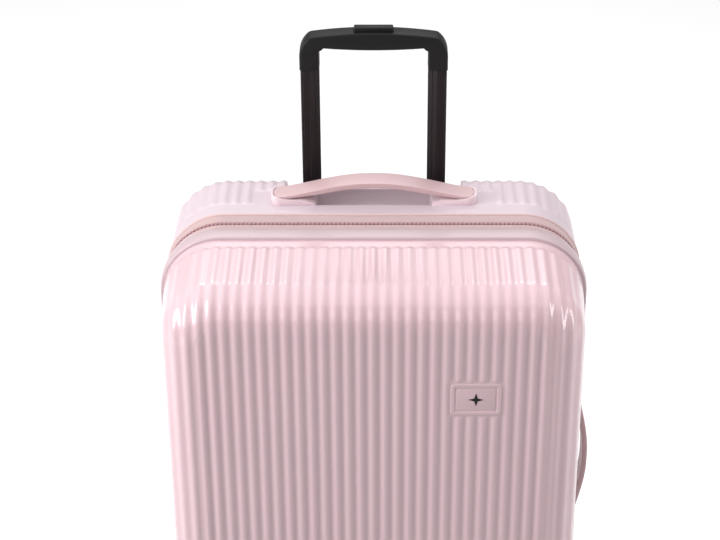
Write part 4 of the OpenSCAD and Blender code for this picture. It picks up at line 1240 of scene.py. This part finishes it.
def coarse_columns():
    half_x = HALF_W - CORNER
    straight = [(-half_x + 2 * half_x * i / 40, 1, 0.0, 1.0) for i in range(41)]
    arc = [i / 10 * math.pi / 4 for i in range(1, 11)]
    right = [(half_x, 1, math.sin(a), math.cos(a)) for a in arc]
    left = [(-half_x, 1, -math.sin(a), math.cos(a)) for a in reversed(arc)]
    return left + straight + right


def rounded_cut(half_x, half_z, radius):
    """Area of a flat cut with round corners, and the length round its edge."""
    area = 4 * half_x * half_z - (4 - math.pi) * radius ** 2
    return area, 4 * (half_x + half_z) - (8 - 2 * math.pi) * radius


def build_gusset():
    low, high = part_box("expansion_gusset")
    length = (high.y - low.y) / MM
    steps = 36
    line = []
    for i in range(steps + 1):
        share = i / steps
        line.append((low.y + share * length * MM, (-6.1 - 4.6 * math.sin(3 * math.pi * share) ** 2) * MM))
    thick = 0.35 * MM
    profile = [(y, offset + thick) for y, offset in line]
    profile += [(y, offset - thick) for y, offset in reversed(line)]
    piece = hoop("gusset_cloth", profile)
    piece.name = "expansion_gusset_cloth"
    piece.data.materials.append(gusset_cloth)
    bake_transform(piece)
    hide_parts("expansion_gusset")
    run = sum(math.hypot(b[0] - a[0], b[1] - a[1]) for a, b in zip(line, line[1:]))


def build_hinge_cloth():
    low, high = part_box("hinge_tape")
    bpy.ops.mesh.primitive_grid_add(x_subdivisions=22, y_subdivisions=60, size=1)
    piece = bpy.context.active_object
    piece.scale = (high.y - low.y, high.z - low.z, 1)
    settle(piece)
    piece.data.transform(Matrix.Translation((low + high) / 2)
                         @ Matrix.Rotation(math.pi / 2, 4, "Z") @ UPRIGHT)
    apply_modifier(piece, "SOLIDIFY", thickness=0.8 * MM, offset=0)
    smooth(piece)
    piece.name = "hinge_cloth"
    piece.data.materials.append(gusset_cloth)
    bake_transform(piece)
    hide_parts("hinge_tape")


def build_interior():
    lining("rear_lining_cloth", "rear_lining", 1, "root", 0.7)
    lining("front_lining_cloth", "front_lining", -1, "front_half", 2.1)
    divider_low, divider_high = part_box("divider_panel")
    panel = rounded_copy("divider_panel", "divider_cloth", "front_half", lining_cloth, 0.3 * MM, 1)
    for offset, kind in ((-19.5, "edge"), (-38.0, "pocket")):
        profile = mm_profile(divider_high.y, [(-0.5, offset - 1.6), (0.9, offset - 1.2), (1.3, offset),
                                              (0.9, offset + 1.2), (-0.5, offset + 1.6)])
        band_ring("divider_" + kind + "_binding", profile, "front_half", webbing_cloth)
    rounded_copy("packing_straps", "packing_webbing", "root", webbing_cloth, 0.3 * MM)
    rounded_copy("strap_buckles", "packing_buckles", "root", black_plastic, 1.4 * MM, 3)
    build_gusset()
    build_hinge_cloth()


def build_fixings():
    """The pieces that stay as the CAD has them, with their own finishes."""
    for name, material in (("trolley_outer_tubes", steel), ("trolley_foot_bracket", black_plastic),
                           ("handle_backing_plates", steel), ("push_rods", steel)):
        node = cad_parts[name]
        node.data.materials.clear()
        node.data.materials.append(material)
    rounded_copy("rear_screws", "rear_screw_set", "root", steel, 0.3 * MM)
    rounded_copy("front_screws", "front_screw_set", "front_half", steel, 0.3 * MM)


# ---------------------------------------------------------------- the whole case

for build in (build_camera, build_studio, build_front_shell, build_rear_shell, build_band_and_zips,
              build_carry_handles, build_rails, build_grip, build_badge, build_casters, build_lock,
              build_interior, build_fixings):
    build()
